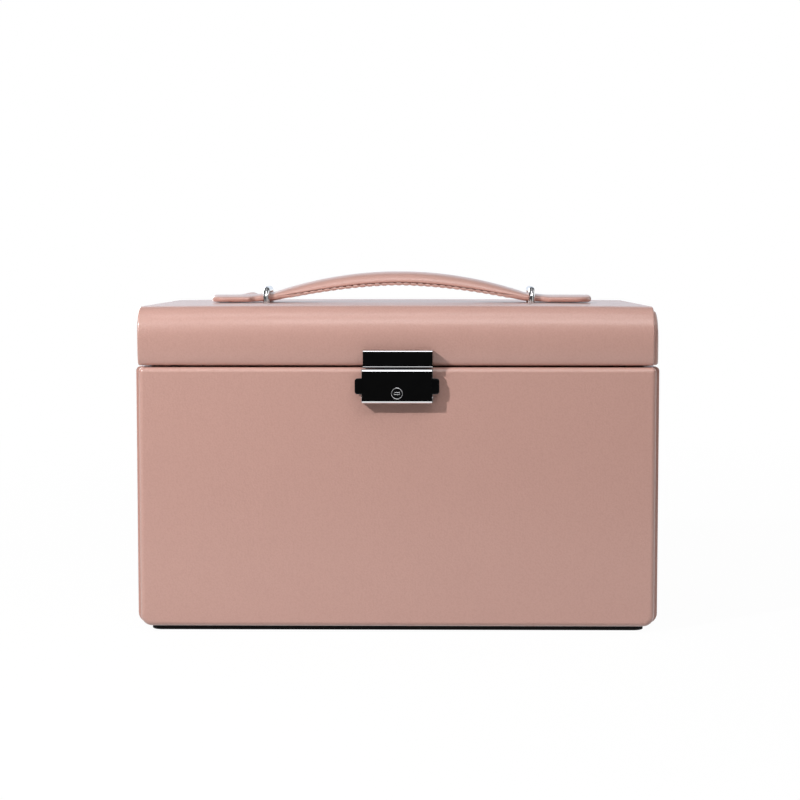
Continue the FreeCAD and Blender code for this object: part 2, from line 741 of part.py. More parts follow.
def end_region(side, gap):
    # All that lies outside and below a 45 degree plane through the join, so an end can draw in freely
    reach = case_width
    middle = lid_top + strap_neck_rise + strap_neck_thickness
    x = strap_join + gap * math.sqrt(2)
    corners = [
        Vector(side * (x - reach), -reach, middle - reach),
        Vector(side * (x + reach), -reach, middle + reach),
        Vector(side * (x + 3 * reach), -reach, middle - reach),
    ]
    return Part.Face(Part.makePolygon(corners + corners[:1])).extrude(Vector(0, 2 * reach, 0))


def strap_plan(side):
    # One half of the strap seen from above: a narrow neck and a wide rounded paddle
    tall = (lid_top, lid_top + 2 * strap_crest_rise)
    neck_x = sorted((0, side * (paddle_start + 1)))
    paddle_x = sorted((side * paddle_start, side * strap_end))
    paddle = block(paddle_x, (-paddle_half_width, paddle_half_width), tall)
    tip = edges_along(paddle, "z", lambda at: abs(at.x) > strap_end - 1)
    paddle = paddle.makeFillet(paddle_half_width * 0.6, tip)
    return block(neck_x, (-strap_half_width, strap_half_width), tall).fuse(paddle)


strap_face = handle_profile()
strap_face.translate(Vector(0, -paddle_half_width, 0))
strap = strap_face.extrude(Vector(0, 2 * paddle_half_width, 0))
grip_plan = block((-strap_end, strap_end), (-strap_half_width, strap_half_width), (lid_top, case_width))
save("handle_grip", strap.common(grip_plan).cut(end_region(1, 0)).cut(end_region(-1, 0)))
for name, side in (("handle_end_left", -1), ("handle_end_right", 1)):
    save(name, strap.common(strap_plan(side)).common(end_region(side, strap_soft_gap)))
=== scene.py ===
import math

import bmesh
import bpy
from mathutils import Matrix, Vector


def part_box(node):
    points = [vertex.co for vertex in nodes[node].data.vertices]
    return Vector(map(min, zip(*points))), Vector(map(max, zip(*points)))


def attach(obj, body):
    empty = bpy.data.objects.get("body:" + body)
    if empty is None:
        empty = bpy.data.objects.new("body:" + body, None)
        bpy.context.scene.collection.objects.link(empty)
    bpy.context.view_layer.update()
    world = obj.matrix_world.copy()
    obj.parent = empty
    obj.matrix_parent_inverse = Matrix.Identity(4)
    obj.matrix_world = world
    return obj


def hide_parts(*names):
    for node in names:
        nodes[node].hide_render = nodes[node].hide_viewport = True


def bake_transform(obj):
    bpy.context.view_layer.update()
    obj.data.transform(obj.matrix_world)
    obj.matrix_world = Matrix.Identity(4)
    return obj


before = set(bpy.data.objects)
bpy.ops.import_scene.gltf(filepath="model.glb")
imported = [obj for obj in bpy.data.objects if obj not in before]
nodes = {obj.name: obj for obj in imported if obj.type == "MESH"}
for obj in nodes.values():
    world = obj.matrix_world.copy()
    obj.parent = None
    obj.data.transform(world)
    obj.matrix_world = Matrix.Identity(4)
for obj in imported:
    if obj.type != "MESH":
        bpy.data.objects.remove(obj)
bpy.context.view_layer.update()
scene = bpy.context.scene
print("frame loaded with", len(nodes), "nodes")

# ---- camera
cameraView = {"lens": 85.0, "place": (0.01466, -1.1739, 0.21381), "pitch": 4.214, "yaw": 0.692}

cameraData = bpy.data.cameras.new("camera")
cameraData.lens = cameraView["lens"]
cameraData.sensor_width = 36.0
cameraData.clip_start = 0.01
camera = bpy.data.objects.new("camera", cameraData)
camera.location = cameraView["place"]
camera.rotation_euler = (math.radians(90 - cameraView["pitch"]), 0, math.radians(cameraView["yaw"]))
scene.collection.objects.link(camera)
scene.camera = camera


class Thread:
    # one socket of a node tree, so that shader maths reads as plain sums
    def __init__(self, tree, socket=None):
        self.tree = tree
        self.socket = socket

    def node(self, kind, settings, sockets, output=0):
        made = self.tree.nodes.new(kind)
        for name, value in settings.items():
            if name == "stops":
                for element, (position, colour) in zip(stopsOf(made.color_ramp, len(value)), value):
                    element.position = position
                    element.color = colour
            else:
                setattr(made, name, value)
        for name, value in sockets.items():
            if isinstance(value, Thread):
                self.tree.links.new(value.socket, made.inputs[name])
            else:
                made.inputs[name].default_value = value
        return Thread(self.tree, made.outputs[output]) if len(made.outputs) else None

    def maths(self, operation, first, second):
        return self.node("ShaderNodeMath", {"operation": operation}, {0: first, 1: second})

    def __add__(self, other):
        return self.maths("ADD", self, other)

    def __radd__(self, other):
        return self.maths("ADD", other, self)

    def __sub__(self, other):
        return self.maths("SUBTRACT", self, other)

    def __rsub__(self, other):
        return self.maths("SUBTRACT", other, self)

    def __mul__(self, other):
        return self.maths("MULTIPLY", self, other)

    def __rmul__(self, other):
        return self.maths("MULTIPLY", other, self)


def stopsOf(ramp, count):
    while len(ramp.elements) < count:
        ramp.elements.new(1.0)
    return list(ramp.elements)


def startFinish(name):
    finish = bpy.data.materials.new(name)
    finish.use_nodes = True
    finish.node_tree.nodes.clear()
    return finish, Thread(finish.node_tree)


def closeFinish(thread, sockets):
    shader = thread.node("ShaderNodeBsdfPrincipled", {}, sockets)
    thread.node("ShaderNodeOutputMaterial", {}, {"Surface": shader})


def fade(value, low, high):
    # 0 below low, 1 above high, on a material's value
    limits = {"From Min": low, "From Max": high, "To Min": 0.0, "To Max": 1.0}
    return value.node("ShaderNodeMapRange", {"clamp": True}, {"Value": value, **limits})


def mixColours(factor, first, second):
    sockets = {0: factor, 6: first, 7: second}
    return factor.node("ShaderNodeMix", {"data_type": "RGBA"}, sockets, 2)


def noise(thread, place, scale, detail=2.0, rough=0.5):
    sockets = {"Vector": place, "Scale": scale, "Detail": detail, "Roughness": rough}
    return thread.node("ShaderNodeTexNoise", {}, sockets, "Fac")


def stretched(thread, place, scale):
    return thread.node("ShaderNodeMapping", {}, {"Vector": place, "Scale": scale})


def bump(thread, height, depth, strength=1.0):
    sockets = {"Height": height, "Distance": depth, "Strength": strength}
    return thread.node("ShaderNodeBump", {}, sockets, "Normal")


# ---- finishes
def makeLeather(name, look):
    finish, thread = startFinish(name)
    place = thread.node("ShaderNodeTexCoord", {}, {}, "Object")
    wander = thread.node("ShaderNodeTexNoise", {}, {"Vector": place, "Scale": look["wanderScale"]}, "Color")
    shifted = thread.node(
        "ShaderNodeVectorMath",
        {"operation": "MULTIPLY_ADD"},
        {0: wander, 1: (look["wander"],) * 3, 2: place},
    )
    pebble = thread.node(
        "ShaderNodeTexVoronoi",
        {"feature": "SMOOTH_F1"},
        {"Vector": shifted, "Scale": 1 / look["pebble"], "Smoothness": 0.35, "Randomness": 1.0},
        "Distance",
    )
    fine = noise(thread, place, 1 / look["fine"], 2.0, 0.6)
    slanted = stretched(thread, place, (1.0, 1.0, 0.35))
    crease = noise(thread, slanted, 1 / look["crease"], 3.0, 0.55)
    broad = noise(thread, place, 1 / look["broad"], 2.0, 0.5)
    valley = fade(pebble, 0.35, 0.75)
    folds = fade(crease, 0.42, 0.6)
    tone = mixColours(broad, look["colour"], look["secondColour"])
    # painted shade: the colour is darkened in the valleys of the pebble grain
    tone = mixColours(valley * look["valleyShadeShare"], tone, look["valleyShadeColour"])
    height = (1 - pebble) * 0.6 + fine * 0.25 + folds * look["foldShare"]
    closeFinish(thread, {
        "Base Color": tone,
        "Roughness": look["roughness"] + valley * 0.12 + (broad - 0.5) * 0.08,
        "IOR": 1.5,
        "Coat Weight": look["coat"],
        "Coat Roughness": look["coatRoughness"],
        "Normal": bump(thread, height, look["depth"]),
    })
    return finish


leatherLook = {
    "colour": (0.585, 0.338, 0.285, 1),
    "secondColour": (0.572, 0.328, 0.277, 1),
    # painted shade for the grain's valleys
    "valleyShadeColour": (0.44, 0.235, 0.19, 1),
    "valleyShadeShare": 0.16,
    "pebble": 0.0010,
    "fine": 0.00035,
    "crease": 0.0030,
    "broad": 0.045,
    "wander": 0.0006,
    "wanderScale": 420.0,
    "foldShare": 0.35,
    "depth": 0.00012,
    "roughness": 0.35,
    "coat": 0.70,
    "coatRoughness": 0.22,
}
caseLeather = makeLeather("caseLeather", leatherLook)
# the strap: the case leather with finer, glossier grain and a lighter colour, partly its own tone and partly painted
# light for the handle's brighter look
strapLook = dict(leatherLook)
strapLook.update({
    "colour": (0.610, 0.355, 0.300, 1),
    "secondColour": (0.590, 0.340, 0.287, 1),
    "pebble": 0.0008,
    "depth": 0.00006,
    "roughness": 0.34,
    "coat": 1.0,
    "coatRoughness": 0.28,
})
strapLeather = makeLeather("strapLeather", strapLook)


def makeCloth(name, look):
    finish, thread = startFinish(name)
    place = thread.node("ShaderNodeTexCoord", {}, {}, "Object")
    nap = noise(thread, stretched(thread, place, look["lay"]), 1 / look["nap"], 3.0, 0.6)
    pile = noise(thread, place, 1 / look["pile"], 1.0, 0.5)
    tone = mixColours(fade(nap, 0.3, 0.7), look["colour"], look["secondColour"])
    closeFinish(thread, {
        "Base Color": tone,
        "Roughness": look["roughness"] + (pile - 0.5) * 0.1,
        "IOR": 1.4,
        "Sheen Weight": look["sheen"],
        "Sheen Roughness": 0.45,
        "Sheen Tint": look["sheenTint"],
        "Normal": bump(thread, pile + nap * 0.6, look["depth"]),
    })
    return finish


velvet = makeCloth("velvet", {
    "colour": (0.50, 0.285, 0.255, 1),
    "secondColour": (0.43, 0.235, 0.21, 1),
    "sheenTint": (0.95, 0.80, 0.76, 1),
    "lay": (1.0, 0.4, 1.0),
    "nap": 0.018,
    "pile": 0.0004,
    "roughness": 0.85,
    "sheen": 0.55,
    "depth": 0.00012,
})
felt = makeCloth("felt", {
    "colour": (0.010, 0.009, 0.009, 1),
    "secondColour": (0.018, 0.016, 0.016, 1),
    "sheenTint": (0.5, 0.5, 0.5, 1),
    "lay": (1.0, 1.0, 1.0),
    "nap": 0.004,
    "pile": 0.0003,
    "roughness": 0.92,
    "sheen": 0.05,
    "depth": 0.0002,
})
lockShade = makeCloth("lockShade", {
    "colour": (0.004, 0.004, 0.004, 1),
    "secondColour": (0.006, 0.006, 0.006, 1),
    "sheenTint": (0.5, 0.5, 0.5, 1),
    "lay": (1.0, 1.0, 1.0),
    "nap": 0.002,
    "pile": 0.0003,
    "roughness": 0.7,
    "sheen": 0.0,
    "depth": 0.00002,
})


def makeBoard():
    look = {"colour": (0.33, 0.20, 0.13, 1), "second": (0.25, 0.15, 0.10, 1), "fibre": 0.0016, "depth": 0.00006}
    finish, thread = startFinish("linerBoard")
    place = thread.node("ShaderNodeTexCoord", {}, {}, "Object")
    fibre = noise(thread, stretched(thread, place, (0.3, 1.0, 1.0)), 1 / look["fibre"], 4.0, 0.65)
    closeFinish(thread, {
        "Base Color": mixColours(fade(fibre, 0.35, 0.65), look["colour"], look["second"]),
        "Roughness": 0.72 + fibre * 0.2,
        "Normal": bump(thread, fibre, look["depth"]),
    })
    return finish


def makeThread():
    look = {"colour": (0.80, 0.60, 0.55, 1), "second": (0.68, 0.47, 0.42, 1), "ply": 0.0005, "depth": 0.0001}
    finish, thread = startFinish("stitchThread")
    place = thread.node("ShaderNodeTexCoord", {}, {}, "Object")
    turned = thread.node("ShaderNodeMapping", {}, {"Vector": place, "Rotation": (0, math.radians(40), 0)})
    ply = thread.node(
        "ShaderNodeTexWave",
        {"wave_type": "BANDS", "bands_direction": "X"},
        {"Vector": turned, "Scale": 0.3 / look["ply"], "Distortion": 0.6},
        "Fac",
    )
    closeFinish(thread, {
        "Base Color": mixColours(ply, look["second"], look["colour"]),
        "Roughness": 0.55 + ply * 0.1,
        "Sheen Weight": 0.2,
        "Normal": bump(thread, ply, look["depth"]),
    })
    return finish


def makeMetal(name, look):
    finish, thread = startFinish(name)
    place = thread.node("ShaderNodeTexCoord", {}, {}, "Object")
    smudge = noise(thread, place, 1 / look["smudge"], 3.0, 0.6)
    brushed = noise(thread, stretched(thread, place, look["brushLay"]), 1 / look["brush"], 2.0, 0.6)
    tone = mixColours(fade(smudge, 0.3, 0.75), look["colour"], look["secondColour"])
    closeFinish(thread, {
        "Base Color": tone,
        "Metallic": 1.0,
        "Roughness": look["roughness"] + smudge * look["smudgeDepth"] + brushed * look["brushDepth"],
        "Normal": bump(thread, brushed, look["depth"]),
    })
    return finish


brushedSteel = makeMetal("brushedSteel", {
    "colour": (0.56, 0.55, 0.54, 1),
    "secondColour": (0.50, 0.49, 0.48, 1),
    "smudge": 0.02,
    "smudgeDepth": 0.08,
    "brush": 0.0006,
    "brushLay": (1.0, 0.06, 1.0),
    "brushDepth": 0.18,
    "roughness": 0.20,
    "depth": 0.00001,
})
chrome = makeMetal("chrome", {
    "colour": (0.80, 0.80, 0.81, 1),
    "secondColour": (0.74, 0.74, 0.76, 1),
    "smudge": 0.006,
    "smudgeDepth": 0.05,
    "brush": 0.0015,
    "brushLay": (1.0, 1.0, 1.0),
    "brushDepth": 0.02,
    "roughness": 0.05,
    "depth": 0.0000005,
})
# painted reflection: the lock's chrome is given a near-black colour, so its faces show a dark reflection from every
# side
darkReflectionChrome = makeMetal("darkReflectionChrome", {
    "colour": (0.070, 0.071, 0.073, 1),
    "secondColour": (0.085, 0.086, 0.089, 1),
    "smudge": 0.008,
    "smudgeDepth": 0.06,
    "brush": 0.004,
    "brushLay": (1.0, 1.0, 1.0),
    "brushDepth": 0.02,
    "roughness": 0.05,
    "depth": 0.000002,
})
mirrorFinish = makeMetal("mirrorFinish", {
    "colour": (0.90, 0.91, 0.91, 1),
    "secondColour": (0.88, 0.89, 0.89, 1),
    "smudge": 0.03,
    "smudgeDepth": 0.015,
    "brush": 0.01,
    "brushLay": (1.0, 1.0, 1.0),
    "brushDepth": 0.004,
    "roughness": 0.008,
    "depth": 0.0000002,
})
linerBoard = makeBoard()
stitchThread = makeThread()
print("finishes made")


# ---- mesh helpers
def smoothStep(low, high, value):
    share = min(1.0, max(0.0, (value - low) / (high - low)))
    return share * share * (3 - 2 * share)


def between(first, second, share):
    return first + (second - first) * share


def shell(mesh):
    # doubles merged and faces turned outwards on a closed shape
    work = bmesh.new()
    work.from_mesh(mesh)
    bmesh.ops.remove_doubles(work, verts=work.verts, dist=0.0000005)
    bmesh.ops.recalc_face_normals(work, faces=work.faces)
    work.to_mesh(mesh)
    work.free()
    return mesh


def roundedRing(low, high, radii, steps=6, sideSteps=1):
    # a rounded rectangle as (a, b) points, anticlockwise from the low corner
    corners = [
        (low[0], low[1], 180, radii[0], 1, 1),
        (high[0], low[1], 270, radii[1], -1, 1),
        (high[0], high[1], 0, radii[2], -1, -1),
        (low[0], high[1], 90, radii[3], 1, -1),
    ]
    arcs = []
    for a, b, start, radius, signA, signB in corners:
        wide, tall = radius if isinstance(radius, tuple) else (radius, radius)
        wide = max(wide, 0.00002)
        tall = max(tall, 0.00002)
        centre = (a + signA * wide, b + signB * tall)
        arc = []
        for step in range(steps + 1):
            angle = math.radians(start + 90 * step / steps)
            arc.append((centre[0] + wide * math.cos(angle), centre[1] + tall * math.sin(angle)))
        arcs.append(arc)
    points = []
    for number, arc in enumerate(arcs):
        points += arc
        after = arcs[(number + 1) % 4][0]
        for step in range(1, sideSteps):
            share = step / sideSteps
            points.append((between(arc[-1][0], after[0], share), between(arc[-1][1], after[1], share)))
    return points


def loft(name, rings, wrap=False):
    count = len(rings[0])
    rows = len(rings)
    points = [point for ring in rings for point in ring]
    faces = []
    for row in range(rows if wrap else rows - 1):
        after = (row + 1) % rows
        for side in range(count):
            following = (side + 1) % count
            faces.append((
                row * count + side,
                row * count + following,
                after * count + following,
                after * count + side,
            ))
    if not wrap:
        faces.append(tuple(reversed(range(count))))
        faces.append(tuple(range((rows - 1) * count, rows * count)))
    mesh = bpy.data.meshes.new(name)
    mesh.from_pydata(points, [], faces)
    return shell(mesh)


def joined(name, meshes):
    work = bmesh.new()
    for mesh in meshes:
        work.from_mesh(mesh)
        bpy.data.meshes.remove(mesh)
    mesh = bpy.data.meshes.new(name)
    work.to_mesh(mesh)
    work.free()
    return mesh


def block(name, low, high, radius, steps=3, bevel=None):
    # a box with every edge rounded, the front and back edges by bevel where it is given
    rings = []
    bevel = bevel or radius
    quarter = [math.radians(90 * step / steps) for step in range(steps + 1)]
    ends = [(low[1] + bevel * (1 - math.sin(turn)), bevel * (1 - math.cos(turn))) for turn in reversed(quarter)]
    ends += [(high[1] - bevel * (1 - math.sin(turn)), bevel * (1 - math.cos(turn))) for turn in quarter]
    for y, inset in ends:
        ring = roundedRing(
            (low[0] + inset, low[2] + inset),
            (high[0] - inset, high[2] - inset),
            (radius - inset,) * 4,
            steps,
        )
        rings.append([(a, y, b) for a, b in ring])
    return loft(name, rings)


def placed(name, mesh):
    piece = bpy.data.objects.new(name, mesh)
    scene.collection.objects.link(piece)
    return piece


def settle(piece):
    # what the modifiers make becomes the piece's own mesh
    graph = bpy.context.evaluated_depsgraph_get()
    mesh = bpy.data.meshes.new_from_object(piece.evaluated_get(graph), depsgraph=graph)
    piece.modifiers.clear()
    piece.data = mesh
    return piece


def modified(name, mesh, modifiers):
    piece = placed(name, mesh)
    for kind, settings in modifiers:
        modifier = piece.modifiers.new(kind.lower(), kind)
        for setting, value in settings.items():
            setattr(modifier, setting, value)
    settle(piece)
    mesh = piece.data
    bpy.data.objects.remove(piece)
    return mesh


def carved(name, mesh, cuts):
    tools = [placed("cutter", cut) for cut in cuts]
    modifiers = [("BOOLEAN", {"operation": "DIFFERENCE", "solver": "EXACT", "object": tool}) for tool in tools]
    mesh = modified(name, mesh, modifiers)
    for tool in tools:
        bpy.data.objects.remove(tool)
    return mesh


def plainBlock(name, low, high):
    mesh = bpy.data.meshes.new(name)
    work = bmesh.new()
    bmesh.ops.create_cube(work, size=1.0)
    middle = (Vector(low) + Vector(high)) / 2
    size = Vector(high) - Vector(low)
    for vertex in work.verts:
        vertex.co = Vector(vertex.co[i] * size[i] + middle[i] for i in range(3))
    work.to_mesh(mesh)
    work.free()
    return mesh


def finished(name, mesh, finish, sharpAngle=40.0):
    # the mesh with its finish, smooth but for sharp edges, and flat faces kept flat
    mesh.materials.clear()
    mesh.materials.append(finish)
    for face in mesh.polygons:
        face.use_smooth = True
        face.material_index = 0
    mesh.set_sharp_from_angle(angle=math.radians(sharpAngle))
    mesh = modified(name, mesh, [("WEIGHTED_NORMAL", {"keep_sharp": True, "weight": 50})])
    return placed(name, mesh)


def rides(piece, body, slotName, *replaced):
    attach(piece, body)
    if replaced:
        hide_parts(*replaced)
    return piece


# ---- lid
lidShape = {
    "frontCrown": (0.0130, 0.0172),
    "backCrown": (0.011, 0.011),
    "lowerEdge": (0.0037, 0.0150),
    "bulge": 0.0008,
    "bulgePower": 2.5,
    "bulgeFrom": 0.0180,
    "stations": 24,
    "raised": 0.0005,
    "crownSteps": 16,
    "wrapShort": {-1: 0.0004, 1: 0.0021},
    "wrapRound": 0.0010,
    "cheekOut": {-1: 0.0, 1: 0.0006},
    "cheekInset": 0.0030,
    "cheekDrop": 0.0026,
    "cheekEnd": 0.0022,
    "cheekSideRound": 0.0040,
    "cheekLowRound": 0.0015,
    "cheekTopRound": 0.0055,
    "cavitySide": 0.1423,
    "cavityBack": 0.0888,
    "liningWall": 0.0006,
}


def lidRing(low, high, inset, x):
    # one section of the lid at x, its padded top a little higher towards the middle
    shape = lidShape
    names = ("lowerEdge", "lowerEdge", "backCrown", "frontCrown")
    room = high[1] - low[1] - shape["frontCrown"][1]
    radii = []
    for name in names:
        deep, tall = shape[name]
        if name == "lowerEdge":
            tall = min(tall, room)
        radii.append((max(deep - inset, 0.0001), max(tall - inset, 0.0001)))
    bulge = shape["bulge"] * (1 - min(1.0, abs(x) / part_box("lid_cover")[1].x) ** shape["bulgePower"])
    ring = roundedRing(low, high, radii, shape["crownSteps"])
    return [(x, y, z + bulge * smoothStep(high[1] - shape["bulgeFrom"], high[1], z)) for y, z in ring]


def makeLid():
    shape = lidShape
    low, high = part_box("lid_cover")
    low.z += shape["raised"]
    ends = {side: high.x - short for side, short in shape["wrapShort"].items()}
    rounded = {-1: [], 1: []}
    for side, end in ends.items():
        for step in range(6):
            turn = math.radians(18 * step)
            inset = shape["wrapRound"] * (1 - math.sin(turn))
            rounded[side].append((side * (end - shape["wrapRound"] * (1 - math.cos(turn))), inset))
    first, last = (side * (ends[side] - shape["wrapRound"] - 0.0002) for side in (-1, 1))
    stations = list(rounded[-1])
    stations += [(between(first, last, step / shape["stations"]), 0.0) for step in range(shape["stations"] + 1)]
    stations += list(reversed(rounded[1]))
    rings = []
    for x, inset in stations:
        rings.append(lidRing((low.y + inset, low.z + inset), (high.y - inset, high.z - inset), inset, x))
    wrap = loft("lidWrap", rings)
    cavityLow = (-shape["cavitySide"], -shape["cavityBack"], low.z - 0.01)
    cavityHigh = (shape["cavitySide"], shape["cavityBack"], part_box("mirror_frame")[1].z + 0.0002)
    wrap = carved("lidWrap", wrap, [plainBlock("cavity", cavityLow, cavityHigh)])
    boards = ("lid_top_board", "lid_front_rail", "lid_back_rail", "lid_side_rails")
    rides(finished("lidWrap", wrap, caseLeather), "lid", "leather", "lid_cover", *boards)

    cheeks = []
    for side in (-1, 1):
        rings = []
        inset = shape["cheekInset"]
        stations = [(ends[side] - 0.004, 0.0)] + [
            (high.x + shape["cheekOut"][side] - shape["cheekEnd"] * (1 - math.sin(turn)), 1 - math.cos(turn))
            for turn in (math.radians(15 * step) for step in range(7))
        ]
        for x, share in stations:
            around = inset + shape["cheekSideRound"] * share
            over = shape["cheekDrop"] + shape["cheekTopRound"] * share
            rings.append(lidRing(
                (low.y + around, low.z + 0.0003 + shape["cheekLowRound"] * share),
                (high.y - around, high.z - over),
                inset,
                side * x,
            ))
        cheeks.append(loft("cheek", rings))
    cheekMesh = joined("lidCheeks", cheeks)
    rides(finished("lidCheeks", cheekMesh, caseLeather), "lid", "leather")

    wall = shape["liningWall"]
    frameLow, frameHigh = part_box("mirror_frame")
    rings = []
    for grow, z in ((wall, low.z + 0.0006), (wall, frameHigh.z), (0.0, frameHigh.z), (0.0, low.z + 0.0009)):
        ring = roundedRing(
            (frameLow.x - 0.00005 - grow, frameLow.y - 0.00005 - grow),
            (frameHigh.x + 0.00005 + grow, frameHigh.y + 0.00005 + grow),
            (0.001,) * 4,
            4,
        )
        rings.append([(x, y, z) for x, y in ring])
    lining = loft("lidLining", rings, wrap=True)
    rides(finished("lidLining", lining, velvet), "lid", "velvet")


makeLid()
print("lid made")


# ---- body of the case and its front panel
bodyShape = {
    "corner": 0.0065,
    "rim": 0.0025,
    "steps": 8,
    "innerSide": 0.1424,
    "innerBack": 0.0889,
    "floor": 0.0088,
    "panelEdge": 0.0030,
    "panelCorner": 0.0065,
    "panelTop": 0.0025,
    "panelBackGap": 0.0001,
    "liningWall": 0.0003,
}


def makeBody():
    shape = bodyShape
    low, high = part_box("body_cover")
    rings = []
    corner = shape["corner"]
    rim = shape["rim"]
    stations = [(low.y, 0.0)]
    for step in range(shape["steps"] + 1):
        turn = math.radians(90 * step / shape["steps"])
        stations.append((high.y - corner * (1 - math.sin(turn)), 1 - math.cos(turn)))
    for y, share in stations:
        ring = roundedRing(
            (low.x + corner * share, low.z + corner * share),
            (high.x - corner * share, high.z - rim * share),
            (corner * (1 - share * 0.9),) * 2 + (rim * (1 - share * 0.9),) * 2,
            shape["steps"],
        )
        rings.append([(x, y, z) for x, z in ring])
    body = loft("bodyCase", rings)
    hollow = plainBlock(
        "hollow",
        (-shape["innerSide"], low.y - 0.01, shape["floor"]),
        (shape["innerSide"], shape["innerBack"], high.z + 0.01),
    )
    body = carved("bodyCase", body, [hollow])
    rides(finished("bodyCase", body, caseLeather), "case", "leather", "body_cover")

    # velvet on the inside of the walls
    wall = shape["liningWall"]
    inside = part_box("right_wall")[0].x
    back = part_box("back_wall")[0].y
    top = high.z - 0.0008
    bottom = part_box("floor_board")[1].z
    front = low.y + 0.0004
    lining = [
        block("side", (-inside - 0.0004, front, bottom), (-inside + wall, back, top), 0.00012, 2),
        block("side", (inside - wall, front, bottom), (inside + 0.0004, back, top), 0.00012, 2),
        block("back", (-inside, back - wall, bottom), (inside, back + 0.0004, top), 0.00012, 2),
    ]
    rides(finished("caseLining", joined("caseLining", lining), velvet), "case", "velvet")


def makePanel():
    shape = bodyShape
    low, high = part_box("front_panel_cover")
    edge = shape["panelEdge"]
    stations = [
        (low.y + edge * (1 - math.cos(turn)), edge * (1 - math.sin(turn)))
        for turn in (math.radians(90 * step / shape["steps"]) for step in range(shape["steps"] + 1))
    ]
    stations.append((high.y + shape["panelBackGap"], 0.0))
    rings = []
    for y, inset in stations:
        ring = roundedRing(
            (low.x + inset, low.z + inset),
            (high.x - inset, high.z - inset),
            (shape["panelCorner"] - inset * 0.8,) * 2 + (shape["panelTop"] - inset * 0.7,) * 2,
            shape["steps"],
        )
        rings.append([(x, y, z) for x, z in ring])
    panel = loft("panelSkin", rings)
    rides(finished("panelSkin", panel, caseLeather), "lower_drawer", "leather", "front_panel_cover")

    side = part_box("right_wall")[0].x - 0.0025
    lining = block("panelLining", (-side, high.y, low.z + 0.007), (side, high.y + 0.0005, high.z - 0.002), 0.0002)
    rides(finished("panelLining", lining, velvet), "lower_drawer", "velvet")


makeBody()
makePanel()
print("body and front panel made")


# ---- handle: two halves that meet at the middle, each covering half of the grip and its own end
handleShape = {
    "tips": {-1: 0.1156, 1: 0.1184},
    "tipRound": 0.0111,
    "paddleHalf": 0.0185,
    "neckHalf": 0.0145,
    "shoulder": (0.0880, 0.0925),
    "crestTop": 0.2073,
    "crestLow": 0.19915,
    "neckTop": 0.1947,
    "neckLow": 0.1894,
    "topPower": 2.03,
    "lowPower": 1.72,
    "neckAt": 0.0770,
    "endTop": 0.1929,
    "endLow": 0.1887,
    "flange": 0.0010,
    "flangeWide": 0.0003,
    "padTuck": 0.155,
    "flangeFrom": (0.078, 0.060),
    "cornerLift": {-1: 0.0024, 1: 0.0003},
    "liftAt": 0.0922,
    "liftWide": 0.0066,
    "domeSteps": 22,
    "stations": 120,
    "bendStart": 0.020,
    "bendEnd": 0.076,
}


def strapHalf(x, tip):
    shape = handleShape
    half = between(shape["neckHalf"], shape["paddleHalf"], smoothStep(*shape["shoulder"], x))
    start = tip - shape["tipRound"]
    if x > start:
        reach = min(x - start, shape["tipRound"])
        half -= shape["tipRound"] - math.sqrt(shape["tipRound"] ** 2 - reach ** 2)
    return half


def strapHeights(x):
    # lowest and highest point of the strap's section at a distance x from its middle
    shape = handleShape
    if x < shape["neckAt"]:
        share = x / shape["neckAt"]
        top = shape["crestTop"] - (shape["crestTop"] - shape["neckTop"]) * share ** shape["topPower"]
        low = shape["crestLow"] - (shape["crestLow"] - shape["neckLow"]) * share ** shape["lowPower"]
        return low, top
    share = smoothStep(shape["neckAt"] - 0.008, shape["neckAt"] + 0.016, x)
    start = smoothStep(shape["neckAt"] - 0.008, shape["neckAt"] + 0.016, shape["neckAt"])
    share = (share - start) / (1 - start)
    return between(shape["neckLow"], shape["endLow"], share), between(shape["neckTop"], shape["endTop"], share)


def strapRing(side, x, thin):
    shape = handleShape
    low, top = strapHeights(x)
    middle = (low + top) / 2
    low = between(middle, low, thin)
    top = between(middle, top, thin)
    half = strapHalf(x, shape["tips"][side]) - 0.0018 * (1 - thin)
    padded = smoothStep(*(-edge for edge in shape["flangeFrom"]), -x)
    flange = between((top - low) * 0.48, shape["flange"], padded)
    padHalf = half - shape["flangeWide"] * padded - 0.00005
    power = 2.2
    under = between(0.9, 0.4, padded) * flange
    tuck = shape["padTuck"] * padded
    waist = low + flange + (top - low - flange) * tuck
    points = []
    for step in range(7):  # under edge on the far side, round to the flange's top
        turn = math.radians(-90 + 15 * step)
        points.append((half - under + under * math.cos(turn), low + under + under * math.sin(turn)))
    notch = min(under * 0.3, (flange - under) * 0.5)
    points.append((half, low + flange - notch))
    points.append((half - 0.0002 * padded, low + flange))
    # the pad: it swells out to its waist, then crowns over
    pad = []
    for step in range(-5, shape["domeSteps"] + 6):
        turn = math.pi * step / shape["domeSteps"]
        lower = step < 0 or step > shape["domeSteps"]
        rise = (waist - low - flange) / 0.656 if lower else top - waist
        turnRise = math.sin(turn) if lower else abs(math.sin(turn)) ** (2 / power)
        across = abs(math.cos(turn)) ** (1.0 if lower else 2 / power)
        across = math.copysign(between(1.0, across, padded * 0.8 if lower else 1.0), math.cos(turn))
        pad.append((padHalf * across, waist + rise * turnRise))
    points += pad
    points.append((-half + 0.0002 * padded, low + flange))
    points.append((-half, low + flange - notch))
    for step in range(7):
        turn = math.radians(180 + 15 * step)
        points.append((-half + under + under * math.cos(turn), low + under + under * math.sin(turn)))
    for step in range(1, 6):  # the flat underside
        points.append((between(-half + under, half - under, step / 6), low))
    lift = shape["cornerLift"][side] * math.exp(-((x - shape["liftAt"]) / shape["liftWide"]) ** 2)
    return [(side * x, y, z + lift * smoothStep(0.006, 0.018, y)) for y, z in points]


